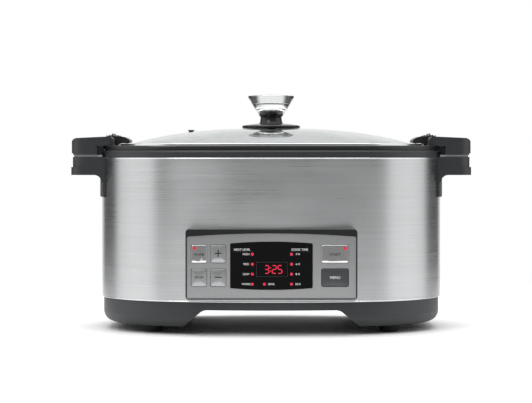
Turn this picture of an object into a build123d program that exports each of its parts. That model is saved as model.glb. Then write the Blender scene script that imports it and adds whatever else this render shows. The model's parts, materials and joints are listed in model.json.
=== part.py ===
from build123d import *

import math
import os

# A countertop slow cooker: a brushed-steel body on a dark base, a lift-out pan with two side
# handles, a domed glass lid held by two hooked clips, and a control panel on the front.
# Millimetres. The origin is on the table under the middle of the body, the front faces -Y
# and Z is up.

# ---- Body outline, shared by the wrap, base, collar, well, pan and lid ----
BODY_HALF_WIDTH = 197.4
BODY_HALF_DEPTH = 152.0
FRONT_RADIUS = 430.0            # radius of the long front and back arcs
CORNER_RADIUS = 122.0           # radius of the four corner arcs
SIDE_RADIUS = 620.0             # radius of the two side arcs

# ---- Heights above the table ----
FOOT_HEIGHT = 8.5
BASE_TOP = 37.0
BODY_TOP = 197.5                # top edge of the steel wrap
COLLAR_HEIGHT = 8.2
RIB_HEIGHT = 1.5                # raised rib of the collar that carries the pan
FLANGE_THICKNESS = 3.8          # rolled rim of the pan
COLLAR_TOP = BODY_TOP + COLLAR_HEIGHT
PAN_SEAT = COLLAR_TOP + RIB_HEIGHT
PAN_TOP = PAN_SEAT + FLANGE_THICKNESS

# ---- Steel wrap and base ----
WRAP_WALL = 1.2
BASE_INSET = 2.0                # the base stands this far inside the wrap
BASE_WALL = 2.5
BASE_ROUND = 12.0               # rounding of the base's lower edge
UPSTAND = 8.0                   # the base reaches this far up inside the wrap
ARCH_TOP = 28.0
ARCH_TOP_HALF = 76.0
ARCH_FOOT_HALF = 99.5
ARCH_TOP_ROUND = 12.0
ARCH_FOOT_ROUND = 8.0

# ---- Feet and fasteners ----
FOOT_X = 134.0
FOOT_Y = 88.0
FOOT_TOP_RADIUS = 13.8
FOOT_SOLE_RADIUS = 10.5
FOOT_ROUND = 2.0
SCREW_RADIUS = 2.0
SCREW_HEAD_RADIUS = 3.6
SCREW_HEAD_HEIGHT = 2.4
SCREW_CLEARANCE = 0.3

# ---- Collar ----
COLLAR_WIDTH = 15.0
COLLAR_ROUND = 2.6
RIB_START = 3.0                 # inset of the rib's outer side
RIB_WIDTH = 6.0
SKIRT_DEPTH = 8.5               # tongue of the collar inside the wrap
SKIRT_WALL = 3.0
SKIRT_CLEARANCE = 0.2

# ---- Pan ----
PAN_EDGE_INSET = 1.7
PAN_EDGE_ROUND = 1.5
LID_HALF_WIDTH = 176.0
LID_CLEARANCE = 1.0
LEDGE_DROP = 4.6                # the lid sits in a step this deep
LEDGE_WIDTH = 8.0
PAN_WALL = 3.0
PAN_FLOOR = 3.0
PAN_BOTTOM = 90.0
PAN_DRAFT = 11.0                # the wall comes in this far towards the floor
PAN_INNER_ROUND = 20.0

# ---- Heating well ----
WELL_WALL = 1.0
WELL_GAP = 4.0                  # between the pan's wall and the well
WELL_FLOOR = 79.0
WELL_ROUND = 10.0
WELL_FLANGE = 13.0
PLATE_THICKNESS = 8.0
PLATE_MARGIN = 45.0
PLATE_TOP_GAP = 0.5
ELEMENT_INSET = 72.0
ELEMENT_WIDTH = 9.0
FUSE_RADIUS = 4.0
FUSE_LENGTH = 26.0
FUSE_LEADS = 40.0                # end to end, with the wire leads
SHIELD_LEVEL = 66.0
SHIELD_THICKNESS = 1.0
SHIELD_MARGIN = 34.0
TIE_Y = 55.0

# ---- Temperature sensor in the middle of the heating plate ----
SENSOR_RADIUS = 12.0
SENSOR_CAP = 6.0
SENSOR_STEM_RADIUS = 3.0
SENSOR_STEM_GAP = 0.1
SENSOR_STEM_LENGTH = 22.0
SENSOR_TOP_GAP = 0.3
SPRING_RADIUS = 7.0
SPRING_WIRE = 0.5
SPRING_TURNS = 3

# ---- Handles ----
HANDLE_OUTER = 231.2            # greatest half width of the whole cooker
HANDLE_HALF_SPAN = 60.0
HANDLE_CORNER = 17.0
GRIP_WIDTH = 11.5
GRIP_HALF_OPENING = 45.0
LOWER_TOP = 198.2
LOWER_BOTTOM = 177.4
LOWER_STEP = 1.9                # the upper half of the lower handle stands this far in
LOWER_STEP_LEVEL = 186.5
LEG_BOTTOM = 151.9
LEG_THICKNESS = 2.2
LEG_ROUND = 8.5                 # curve between the handle's underside and its legs
HANDLE_SCREW_LENGTH = 9.0
PAD_MARGIN = 1.5                # the soft pad stands this far inside the lower handle's edges
HANDLE_GAP = 2.1                # between the two handles of a side
UPPER_OUTER = 230.5
UPPER_END_ROUND = (8.0, 4.3)    # width and height of the curve at the handle's outer end
UPPER_END_TOP = 220.1
UPPER_TOP = 221.6
UPPER_INNER_ROUND = 5.0
UPPER_NOTCH = 2.3
UPPER_NOTCH_HEIGHT = 2.0
UPPER_INNER = 181.5
UPPER_HANG = 200.0              # the hanging part of the pan handle starts here
BRACKET_OUTER = 203.0
FIT = 0.1                       # gap between a seated piece and its seat

# ---- Lid clips ----
CLIP_X = 185.2
CLIP_Z = 215.5
CLIP_HALF_WIDTH = 25.5
CLIP_SIDE_GAP = 0.8
CLIP_HUB_RADIUS = 4.2
CLIP_POCKET_OUTER = 197.0
CLIP_SWING = 72.0               # degrees
CLIP_TOP = 6.6
RIB_PITCH = 3.3
RIB_HALF = 1.2
RIB_TOPS = (7.9, 8.6, 10.2, 8.6, 7.9)
PIN_RADIUS = 1.5
PIN_CLEARANCE = 0.06
PIN_BITE = 5.0                  # length of pin held in each ear

# ---- Lid ----
RIM_HEIGHT = 6.0
RIM_TOP = 213.5
RIM_WALL = 1.2
RIM_LIP = 8.0
RIM_LIP_THICKNESS = 0.9
GLASS = 3.5
SEAL_THICKNESS = 2.4
SEAL_LIP = 3.2
SEAL_LIP_WIDTH = 2.0
DOME_START = 8.5                # width of the flat glass border under the rim
DOME = ((136.0, 222.5), (115.0, 226.3), (83.0, 229.4), (46.0, 231.5))
DOME_SHOULDER = (157.0, 216.7)
DOME_CAP = 231.9
DOME_CAP_HALF = 34.0
VENT_X = -94.0
VENT_Z = 228.5
VENT_RADIUS = 4.5
VENT_NECK = 2.8
VENT_BORE = 1.2
VENT_PROUD = 1.5

# ---- Knob ----
SKIRT_RADIUS = 35.0
SKIRT_EDGE = 3.1
SKIRT_RISE = 2.3
NECK_FOOT_RADIUS = 14.3
NECK_RADIUS = 12.9
NECK_Z = 240.6
PINCH_RADIUS = 12.2
PINCH_Z = 244.6
CORE_RADIUS = 15.3
CORE_SHOULDER = 249.4
CORE_TOP = 257.4
CORE_ROUND = 4.0
CONE_FOOT = 0.5                 # width of the clear top's foot outside the pinch
CONE_RADIUS = 27.2
CONE_SHOULDER = 268.3
CONE_ROUND = 1.6
CONE_TOP = 271.4
KNOB_SCREW_LENGTH = 26.0
KNOB_WASHER = 1.2

# ---- Control panel ----
PANEL_PROUD = 4.5               # the bezel and the rear gland stand this far out
PANEL_HALF_WIDTH = 95.0
PANEL_BOTTOM = 40.6
PANEL_TOP = 118.8
PANEL_CORNER = 4.0
PANEL_DEPTH = 22.0              # the bezel's block, before the body is cut from it
FACE_ROUND = 1.5                # corners of the plate and of the window
PLATE_SIDE = 1.6
PLATE_BOTTOM = 41.9
PLATE_TOP_EDGE = 110.3
PLATE_TOP_MIDDLE = 113.8
PLATE_RECESS = 1.6
PLATE_DEPTH = 1.6
PANEL_SHELF = 4.0
WINDOW_HALF = 45.6
WINDOW_BOTTOM = 51.4
WINDOW_TOP = 104.8
WINDOW_ARCH = 2.0
WINDOW_DEPTH = 3.0
KEY_PROUD = 1.2
KEY_DEPTH = 3.8
KEY_FLANGE = 0.6
KEY_GAP = 0.3
KEY_ROUND = 2.2
KEY_TRAVEL = 1.2
KEYS = (                        # name, centre x, centre z, width, height
    ("key_warm", -80.0, 91.3, 17.4, 20.0),
    ("key_cancel", -80.0, 65.0, 17.4, 20.0),
    ("key_plus", -58.8, 91.3, 17.4, 20.0),
    ("key_minus", -58.8, 65.0, 17.4, 20.0),
    ("key_start", 70.2, 91.3, 30.2, 20.0),
    ("key_menu", 70.2, 65.0, 30.2, 20.0),
)
MAT_DEPTH = 2.0
BOARD_THICKNESS = 1.6
BOARD_MARGIN = 0.6
LUG_WIDTH = 9.0
LUG_HEIGHT = 4.0
PANEL_SCREW_HEAD = 1.4
WINDOW_PROUD = 0.3
LED_RADIUS = 1.5
LEDS = (
    (-21.1, 90.9), (-21.1, 80.0), (-21.1, 69.0), (-21.1, 57.8), (-7.8, 57.8),
    (22.2, 90.9), (22.2, 80.0), (22.2, 69.0), (22.2, 57.8),
)
DIGITS = (34.0, 16.0, 74.6)     # width, height and centre height of the digit module

# ---- Power board and rear gland ----
POWER_BOARD = (110.0, 76.0)
POWER_BLOCKS = ((-28.0, 8.0, 26.0, 30.0), (12.0, 14.0, 16.0, 20.0))     # x, y, width, depth
BLOCK_HEIGHT = 17.0
CAPACITORS = ((36.0, -12.0), (12.0, -18.0))
CAPACITOR_RADIUS = 7.0
CAPACITOR_HEIGHT = 15.0
RIBBON_HALF_WIDTH = 12.0
RIBBON_THICKNESS = 0.8
RIBBON_BEND = 14.0              # the ribbon stands this far out from the control board
RIBBON_FOOT = 6.0               # height and edge distance of its end on the power board
POST_HEIGHT = 6.0
POST_RADIUS = 3.5
GLAND_Z = 57.0
GLAND_FLANGE_RADIUS = 11.0
GLAND_NECK_RADIUS = 7.5
GLAND_BORE_RADIUS = 3.75
GLAND_LENGTH = 18.0
GLAND_NUT_THICKNESS = 5.0

# ---- Levels that follow from the sizes above ----
HANDLE_TOP_GAP_LEVEL = LOWER_TOP + HANDLE_GAP
LID_INSET = BODY_HALF_WIDTH - LID_HALF_WIDTH
STEP_INSET = LID_INSET - LID_CLEARANCE
STEP_OUTER_INSET = STEP_INSET - PAN_WALL
LEDGE_LEVEL = PAN_TOP - LEDGE_DROP
CAVITY_INSET = STEP_INSET + LEDGE_WIDTH
PAN_BODY_INSET = CAVITY_INSET - PAN_WALL
WELL_INSET = PAN_BODY_INSET - WELL_GAP
WELL_OUTER_INSET = WELL_INSET - WELL_WALL
FRONT_FACE = -(BODY_HALF_DEPTH + PANEL_PROUD)
PLATE_FACE = FRONT_FACE + PLATE_RECESS
PLATE_BACK = PLATE_FACE + PLATE_DEPTH
KEY_FACE = PLATE_FACE - KEY_PROUD
KEY_BACK = KEY_FACE + KEY_DEPTH
MAT_FACE = KEY_BACK + KEY_TRAVEL + FIT
BOARD_FACE = MAT_FACE + MAT_DEPTH
PLATE_HALF = PANEL_HALF_WIDTH - PLATE_SIDE
OPENING_HALF = PLATE_HALF - PANEL_SHELF
OPENING_BOTTOM = PLATE_BOTTOM + PANEL_SHELF
OPENING_TOP = PLATE_TOP_EDGE - PANEL_SHELF
DECK_LEVEL = ARCH_TOP + BASE_WALL
GLASS_INSET = LID_INSET + RIM_WALL + FIT
GLASS_BORDER_TOP = RIM_TOP - RIM_LIP_THICKNESS
DOME_BASE_INSET = GLASS_INSET + DOME_START
HEAT_PLATE_TOP = PAN_BOTTOM - PLATE_TOP_GAP
SENSOR_TOP = PAN_BOTTOM - SENSOR_TOP_GAP
SIDES = (("left", -1), ("right", 1))


def corner_centre():
    """Centre of a corner arc: tangent inside to both the front arc and the side arc."""
    front_y = BODY_HALF_DEPTH - FRONT_RADIUS
    side_x = BODY_HALF_WIDTH - SIDE_RADIUS
    to_front = FRONT_RADIUS - CORNER_RADIUS
    to_side = SIDE_RADIUS - CORNER_RADIUS
    span = math.hypot(side_x, front_y)
    along = (to_front ** 2 - to_side ** 2 + span ** 2) / (2 * span)
    across = math.sqrt(to_front ** 2 - along ** 2)
    unit_x, unit_y = side_x / span, -front_y / span
    return along * unit_x + across * unit_y, front_y + along * unit_y - across * unit_x


def side_reach(y, inset):
    """Half width of the inset outline at a distance y from the middle, on its corner arc."""
    centre_x, centre_y = corner_centre()
    return centre_x + math.sqrt((CORNER_RADIUS - inset) ** 2 - max(y - centre_y, 0) ** 2)


def oval(inset=0.0):
    """The body's outline as a face, moved inwards by inset along its whole length."""
    front_y = BODY_HALF_DEPTH - FRONT_RADIUS
    side_x = BODY_HALF_WIDTH - SIDE_RADIUS
    centre_x, centre_y = corner_centre()
    front_angle = math.degrees(math.atan2(centre_y - front_y, centre_x))
    side_angle = math.degrees(math.atan2(centre_y, centre_x - side_x))
    with BuildSketch() as shape:
        with BuildLine():
            CenterArc((side_x, 0), SIDE_RADIUS - inset, 0, side_angle)
            CenterArc((centre_x, centre_y), CORNER_RADIUS - inset, side_angle, front_angle - side_angle)
            CenterArc((0, front_y), FRONT_RADIUS - inset, front_angle, 90 - front_angle)
            mirror(about=Plane.YZ)
            mirror(about=Plane.XZ)
        make_face()
    return shape.sketch


def band(outer_inset, inner_inset, low, high):
    """A wall that follows the body's outline between two insets."""
    with BuildPart() as wall:
        with BuildSketch(Plane.XY.offset(low)):
            add(oval(outer_inset))
            add(oval(inner_inset), mode=Mode.SUBTRACT)
        extrude(amount=high - low)
    return wall.part


def slab(inset, low, high):
    """A solid block of the body's outline."""
    with BuildPart() as block:
        with BuildSketch(Plane.XY.offset(low)):
            add(oval(inset))
        extrude(amount=high - low)
    return block.part


def tapered(top_inset, top, bottom_inset, bottom, rounding):
    """A block that narrows downwards, with its lower edge rounded."""
    with BuildPart() as block:
        with BuildSketch(Plane.XY.offset(bottom)):
            add(oval(bottom_inset))
        with BuildSketch(Plane.XY.offset(top)):
            add(oval(top_inset))
        loft(ruled=True)
        fillet(block.faces().sort_by(Axis.Z)[0].edges(), radius=rounding)
    return block.part


def save(piece, name):
    piece.label = name
    export_step(piece, f"parts/{name}.step")


def panel_plane(depth):
    """A plane facing the front at the given Y, with X to the right and Z up."""
    return Plane(origin=(0, depth, 0), x_dir=(1, 0, 0), z_dir=(0, -1, 0))


# ------------------------------------------------------------------ body shell

def make_outer_wrap():
    with BuildPart() as wrap:
        add(band(0, WRAP_WALL, BASE_TOP, BODY_TOP))
        with BuildSketch(panel_plane(-BODY_HALF_DEPTH / 2)):
            with Locations((0, (OPENING_BOTTOM + OPENING_TOP) / 2)):
                Rectangle(2 * OPENING_HALF, OPENING_TOP - OPENING_BOTTOM)
        extrude(amount=BODY_HALF_DEPTH, mode=Mode.SUBTRACT)
        with BuildSketch(Plane.XZ.offset(-BODY_HALF_DEPTH / 2)):
            with Locations((0, GLAND_Z)):
                Circle(GLAND_NECK_RADIUS + FIT)
        extrude(amount=-BODY_HALF_DEPTH, mode=Mode.SUBTRACT)
        with BuildSketch(Plane.YZ):
            with Locations((0, handle_screw_level())):
                with GridLocations(2 * handle_screw_y(), 1, 2, 1):
                    Circle(SCREW_RADIUS + SCREW_CLEARANCE)
        extrude(amount=BODY_HALF_WIDTH + WRAP_WALL, both=True, mode=Mode.SUBTRACT)
    save(wrap.part, "outer_wrap")


def arch_outline(growth):
    """Front view of the arch under the base, grown outwards by growth."""
    floor = -FOOT_HEIGHT
    outside = ARCH_FOOT_HALF + 2 * ARCH_FOOT_ROUND + FOOT_HEIGHT
    with BuildSketch() as shape:
        with BuildLine():
            Polyline(
                (-outside, floor), (-outside, FOOT_HEIGHT), (-ARCH_FOOT_HALF, FOOT_HEIGHT),
                (-ARCH_TOP_HALF, ARCH_TOP), (ARCH_TOP_HALF, ARCH_TOP),
                (ARCH_FOOT_HALF, FOOT_HEIGHT), (outside, FOOT_HEIGHT), (outside, floor), close=True,
            )
        make_face()
        fillet(shape.vertices().filter_by_position(Axis.Y, ARCH_TOP - 1, ARCH_TOP + 1), ARCH_TOP_ROUND)
        feet = shape.vertices().filter_by_position(Axis.Y, FOOT_HEIGHT - 1, FOOT_HEIGHT + 1)
        fillet(feet.filter_by_position(Axis.X, -outside + 1, outside - 1), ARCH_FOOT_ROUND)
        if growth:
            offset(amount=growth, kind=Kind.INTERSECTION)
    return shape.sketch


def rounded_block(inset, low, high, rounding, arch_growth):
    """The base's block with its lower edge rounded and the arch cut through it."""
    with BuildPart() as block:
        add(slab(inset, low, high))
        fillet(block.faces().sort_by(Axis.Z)[0].edges(), radius=rounding)
        with BuildSketch(Plane.XZ):
            add(arch_outline(arch_growth))
        extrude(amount=BODY_HALF_DEPTH + BASE_WALL, both=True, mode=Mode.SUBTRACT)
    return block.part


def make_base_tray():
    top = BASE_TOP + UPSTAND
    hollow_low = FOOT_HEIGHT + BASE_WALL
    with BuildPart() as tray:
        add(rounded_block(BASE_INSET, FOOT_HEIGHT, top, BASE_ROUND, 0))
        add(
            rounded_block(BASE_INSET + BASE_WALL, hollow_low, top, BASE_ROUND - BASE_WALL, BASE_WALL),
            mode=Mode.SUBTRACT,
        )
        with BuildSketch(Plane.XY.offset(hollow_low)):
            with GridLocations(2 * FOOT_X, 2 * FOOT_Y, 2, 2):
                Circle(POST_RADIUS + SCREW_RADIUS)
        extrude(amount=2 * POST_HEIGHT)
        with BuildSketch(Plane.XY.offset(DECK_LEVEL - BASE_WALL / 2)):
            with GridLocations(POWER_BOARD[0] - 2 * POST_RADIUS, POWER_BOARD[1] - 2 * POST_RADIUS, 2, 2):
                Circle(POST_RADIUS)
        extrude(amount=POST_HEIGHT + BASE_WALL / 2)
        with BuildSketch(Plane.XY.offset(FOOT_HEIGHT)):
            with GridLocations(2 * FOOT_X, 2 * FOOT_Y, 2, 2):
                Circle(SCREW_RADIUS)
        extrude(amount=foot_screw_length() - FOOT_HEIGHT / 2 + 1, mode=Mode.SUBTRACT)
        with BuildSketch(Plane.XY.offset(ARCH_TOP)):
            with GridLocations(2 * tie_x(), 2 * TIE_Y, 2, 2):
                Circle(SCREW_RADIUS + SCREW_CLEARANCE)
        extrude(amount=BASE_WALL, mode=Mode.SUBTRACT)
    save(tray.part, "base_tray")


def foot_screw_length():
    return FOOT_HEIGHT + BASE_WALL + POST_HEIGHT


def tie_x():
    """The tie rods stand on the flat of the arch's deck, clear of the power board."""
    return ARCH_TOP_HALF - ARCH_TOP_ROUND + SCREW_HEAD_RADIUS


def make_feet():
    names = ("foot_front_left", "foot_front_right", "foot_rear_left", "foot_rear_right")
    places = ((-FOOT_X, -FOOT_Y), (FOOT_X, -FOOT_Y), (-FOOT_X, FOOT_Y), (FOOT_X, FOOT_Y))
    for name, place in zip(names, places):
        with BuildPart() as foot:
            with BuildSketch(Plane.XY):
                with Locations(place):
                    Circle(FOOT_SOLE_RADIUS)
            with BuildSketch(Plane.XY.offset(FOOT_HEIGHT)):
                with Locations(place):
                    Circle(FOOT_TOP_RADIUS)
            loft()
            fillet(foot.faces().sort_by(Axis.Z)[0].edges(), radius=FOOT_ROUND)
            with Locations(Pos(place[0], place[1], 0) * Rot(180, 0, 0)):
                CounterBoreHole(
                    SCREW_RADIUS + SCREW_CLEARANCE, SCREW_HEAD_RADIUS + SCREW_CLEARANCE, FOOT_HEIGHT / 2,
                    depth=FOOT_HEIGHT,
                )
        save(foot.part, name)


def make_foot_screws():
    level = FOOT_HEIGHT / 2
    with BuildPart() as screws:
        with GridLocations(2 * FOOT_X, 2 * FOOT_Y, 2, 2):
            with Locations((0, 0, level)):
                Cylinder(
                    SCREW_RADIUS, foot_screw_length() - level, align=(Align.CENTER, Align.CENTER, Align.MIN),
                )
            with Locations((0, 0, level)):
                Cylinder(
                    SCREW_HEAD_RADIUS, SCREW_HEAD_HEIGHT, align=(Align.CENTER, Align.CENTER, Align.MAX),
                )
    save(screws.part, "foot_screws")


def make_top_collar():
    skirt_inset = WRAP_WALL + SKIRT_CLEARANCE
    with BuildPart() as collar:
        add(band(0, COLLAR_WIDTH, BODY_TOP, COLLAR_TOP))
        outer_edges = collar.faces().filter_by(Plane.XY).sort_by(Axis.Z)[-1].outer_wire().edges()
        fillet(outer_edges, radius=COLLAR_ROUND)
        add(band(skirt_inset, skirt_inset + SKIRT_WALL, BODY_TOP - SKIRT_DEPTH, BODY_TOP + 1))
        add(band(RIB_START, RIB_START + RIB_WIDTH, COLLAR_TOP - 1, PAN_SEAT))
    save(collar.part, "top_collar")


# ------------------------------------------------------------------ heating

def make_inner_well():
    with BuildPart() as well:
        add(tapered(WELL_OUTER_INSET, BODY_TOP, WELL_OUTER_INSET, WELL_FLOOR - WELL_WALL, WELL_ROUND))
        add(
            tapered(WELL_INSET, BODY_TOP, WELL_INSET, WELL_FLOOR, WELL_ROUND - WELL_WALL),
            mode=Mode.SUBTRACT,
        )
        add(band(WELL_OUTER_INSET - WELL_FLANGE, WELL_INSET, BODY_TOP - WELL_WALL, BODY_TOP))
        with Locations((0, 0, WELL_FLOOR)):
            Hole(SENSOR_STEM_RADIUS + SENSOR_STEM_GAP, depth=2 * WELL_WALL)
        with Locations((0, 0, WELL_FLOOR)):
            with GridLocations(2 * tie_x(), 2 * TIE_Y, 2, 2):
                Hole(SCREW_RADIUS + SCREW_CLEARANCE, depth=2 * WELL_WALL)
    save(well.part, "inner_well")


def make_heating_plate():
    with BuildPart() as plate:
        add(slab(PLATE_MARGIN, HEAT_PLATE_TOP - PLATE_THICKNESS, HEAT_PLATE_TOP))
        with Locations((0, 0, HEAT_PLATE_TOP)):
            Hole(SENSOR_RADIUS + 2, depth=PLATE_THICKNESS)
        with Locations((0, 0, HEAT_PLATE_TOP)):
            with GridLocations(2 * tie_x(), 2 * TIE_Y, 2, 2):
                Hole(SCREW_HEAD_RADIUS + 1, depth=PLATE_THICKNESS)
    save(plate.part, "heating_plate")


def make_heating_element():
    low = WELL_FLOOR + FIT
    with BuildPart() as element:
        add(band(ELEMENT_INSET, ELEMENT_INSET + ELEMENT_WIDTH, low, HEAT_PLATE_TOP - PLATE_THICKNESS - FIT))
    save(element.part, "heating_element")


def make_heat_shield():
    with BuildPart() as shield:
        add(slab(SHIELD_MARGIN, SHIELD_LEVEL - SHIELD_THICKNESS, SHIELD_LEVEL))
        with Locations((0, 0, SHIELD_LEVEL)):
            Hole(SENSOR_STEM_RADIUS + 1, depth=SHIELD_THICKNESS)
        with Locations((0, 0, SHIELD_LEVEL)):
            with GridLocations(2 * tie_x(), 2 * TIE_Y, 2, 2):
                Hole(SCREW_RADIUS + SCREW_CLEARANCE, depth=SHIELD_THICKNESS)
    save(shield.part, "heat_shield")


def make_tie_rods():
    """Four long screws that clamp the base, the shield and the well together."""
    low = ARCH_TOP - SCREW_HEAD_HEIGHT
    high = WELL_FLOOR + SCREW_HEAD_HEIGHT
    with BuildPart() as rods:
        for x in (-tie_x(), tie_x()):
            for y in (-TIE_Y, TIE_Y):
                with BuildSketch(Plane.XY.offset(low)):
                    with Locations((x, y)):
                        Circle(SCREW_RADIUS)
                extrude(amount=high - low)
                for level in (low, SHIELD_LEVEL, WELL_FLOOR):
                    with BuildSketch(Plane.XY.offset(level)):
                        with Locations((x, y)):
                            RegularPolygon(SCREW_HEAD_RADIUS, 6)
                    extrude(amount=SCREW_HEAD_HEIGHT)
    save(rods.part, "tie_rods")


def make_sensor():
    with BuildPart() as plunger:
        with BuildSketch(Plane.XY.offset(SENSOR_TOP - SENSOR_CAP)):
            Circle(SENSOR_RADIUS)
        extrude(amount=SENSOR_CAP)
        fillet(plunger.faces().sort_by(Axis.Z)[-1].edges(), radius=FOOT_ROUND)
        with BuildSketch(Plane.XY.offset(SENSOR_TOP - SENSOR_CAP)):
            Circle(SENSOR_STEM_RADIUS)
        extrude(amount=-SENSOR_STEM_LENGTH)
    save(plunger.part, "sensor_plunger")

    height = SENSOR_TOP - SENSOR_CAP - WELL_FLOOR - 2 * SPRING_WIRE - 2 * FIT
    with BuildPart() as spring:
        with BuildLine(Plane.XY.offset(WELL_FLOOR + SPRING_WIRE + FIT)) as coil:
            Helix(height / SPRING_TURNS, height, SPRING_RADIUS)
        with BuildSketch(Plane(origin=coil.line @ 0, z_dir=coil.line % 0)):
            Circle(SPRING_WIRE)
        sweep(path=coil.line, is_frenet=True)
    save(spring.part, "sensor_spring")


def make_thermal_fuse():
    """A cylinder under the well, with its wire leads."""
    level = WELL_FLOOR - WELL_WALL - FUSE_RADIUS - FIT
    with BuildPart() as fuse:
        with Locations(Pos(0, TIE_Y, level) * Rot(0, 90, 0)):
            Cylinder(FUSE_RADIUS, FUSE_LENGTH)
            Cylinder(FUSE_RADIUS / 4, FUSE_LEADS)
        fillet(fuse.faces().filter_by(GeomType.CYLINDER).sort_by(SortBy.AREA)[-1].edges(), radius=1)
    save(fuse.part, "thermal_fuse")


# ------------------------------------------------------------------ handles

def handle_screw_y():
    return (GRIP_HALF_OPENING + HANDLE_HALF_SPAN) / 2


def handle_screw_level():
    return LOWER_BOTTOM + SCREW_HEAD_RADIUS + 1


def handle_screw_start():
    """Where the screws' heads bear on the inside of the wrap."""
    return side_reach(handle_screw_y() + SCREW_HEAD_RADIUS, WRAP_WALL) - 2 * FIT


def handle_plan(inner, outer):
    """Plan of a side handle on the right, a slab with rounded outer corners."""
    with BuildSketch() as shape:
        with Locations(((inner + outer) / 2, 0)):
            Rectangle(outer - inner, 2 * HANDLE_HALF_SPAN)
        fillet(shape.vertices().group_by(Axis.X)[-1], HANDLE_CORNER)
    return shape.sketch


def grip_opening(inner_inset, outer):
    """Plan of the finger opening on the right: it follows the body on its inner side."""
    with BuildSketch() as shape:
        with Locations((outer - GRIP_WIDTH - HANDLE_CORNER * 2, 0)):
            Rectangle(HANDLE_CORNER * 4, 2 * GRIP_HALF_OPENING)
        fillet(shape.vertices().group_by(Axis.X)[-1], HANDLE_CORNER / 2)
        add(oval(inner_inset), mode=Mode.SUBTRACT)
    return shape.sketch


def leg_curve():
    """Front view of the curve that joins the handle's underside to its legs."""
    reach = side_reach(handle_screw_y(), -LEG_THICKNESS)
    low = LOWER_BOTTOM - LEG_ROUND
    with BuildSketch() as shape:
        with BuildLine():
            Polyline((reach, low), (reach - 2 * LEG_ROUND, low), (reach - 2 * LEG_ROUND, LOWER_BOTTOM + 1))
            Polyline(
                (reach - 2 * LEG_ROUND, LOWER_BOTTOM + 1), (reach + LEG_ROUND, LOWER_BOTTOM + 1),
                (reach + LEG_ROUND, LOWER_BOTTOM),
            )
            RadiusArc((reach + LEG_ROUND, LOWER_BOTTOM), (reach, low), -LEG_ROUND)
        make_face()
    return shape.sketch


def make_side_handle(name, side):
    """Fixed handle on the body: two legs along the wrap and a loop to lift by."""
    with BuildPart() as handle:
        with BuildSketch(Plane.XY.offset(LOWER_BOTTOM)):
            add(handle_plan(BODY_HALF_WIDTH - LEG_ROUND, HANDLE_OUTER))
        extrude(amount=LOWER_STEP_LEVEL - LOWER_BOTTOM)
        with BuildSketch(Plane.XY.offset(LOWER_STEP_LEVEL)):
            add(handle_plan(BODY_HALF_WIDTH - LEG_ROUND, HANDLE_OUTER - LOWER_STEP))
        extrude(amount=LOWER_TOP - LOWER_STEP_LEVEL)
        with BuildSketch(Plane.XY.offset(LEG_BOTTOM)):
            add(oval(-LEG_THICKNESS))
            with Locations((BODY_HALF_WIDTH, 0)):
                Rectangle(LEG_ROUND * 4, 2 * HANDLE_HALF_SPAN, mode=Mode.INTERSECT)
        extrude(amount=LOWER_TOP - LEG_BOTTOM)
        leg_ends = handle.faces().sort_by(Axis.Z)[0].edges().filter_by(GeomType.LINE, reverse=True)
        fillet(leg_ends, LEG_THICKNESS - 1)
        with BuildSketch(Plane.XZ):
            add(leg_curve())
        extrude(amount=HANDLE_HALF_SPAN, both=True)
        with BuildSketch(Plane.XY.offset(LEG_BOTTOM)):
            add(grip_opening(-LEG_THICKNESS - 1, HANDLE_OUTER))
        extrude(amount=LOWER_TOP - LEG_BOTTOM, mode=Mode.SUBTRACT)
        add(slab(-FIT, LEG_BOTTOM - 1, LOWER_TOP + 1), mode=Mode.SUBTRACT)
        with BuildSketch(Plane.YZ):
            with Locations((0, handle_screw_level())):
                with GridLocations(2 * handle_screw_y(), 1, 2, 1):
                    Circle(SCREW_RADIUS)
        extrude(amount=handle_screw_start() + HANDLE_SCREW_LENGTH, mode=Mode.SUBTRACT)
        if side < 0:
            mirror(about=Plane.YZ, mode=Mode.REPLACE)
    save(handle.part, name)


def make_handle_pad(name, side):
    """Soft pad on the lower handle, for the pan handle to rest on."""
    with BuildPart() as pad:
        with BuildSketch(Plane.XY.offset(LOWER_TOP)):
            add(handle_plan(BODY_HALF_WIDTH - LEG_ROUND, HANDLE_OUTER - LOWER_STEP))
            add(grip_opening(-LEG_THICKNESS - 1, HANDLE_OUTER), mode=Mode.SUBTRACT)
            offset(amount=-PAD_MARGIN)
            add(oval(-2 * PAD_MARGIN), mode=Mode.SUBTRACT)
        extrude(amount=HANDLE_GAP - FIT)
        if side < 0:
            mirror(about=Plane.YZ, mode=Mode.REPLACE)
    save(pad.part, name)


def make_side_handle_screws():
    """Screws from inside the wrap into both side handles."""
    with BuildPart() as screws:
        for side in (-1, 1):
            for y in (-handle_screw_y(), handle_screw_y()):
                place = Pos(side * handle_screw_start(), y, handle_screw_level())
                with Locations(place * Rot(0, side * 90, 0)):
                    Cylinder(SCREW_RADIUS, HANDLE_SCREW_LENGTH, align=(Align.CENTER, Align.CENTER, Align.MIN))
                    Cylinder(
                        SCREW_HEAD_RADIUS, SCREW_HEAD_HEIGHT, align=(Align.CENTER, Align.CENTER, Align.MAX),
                    )
    save(screws.part, "side_handle_screws")


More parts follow.
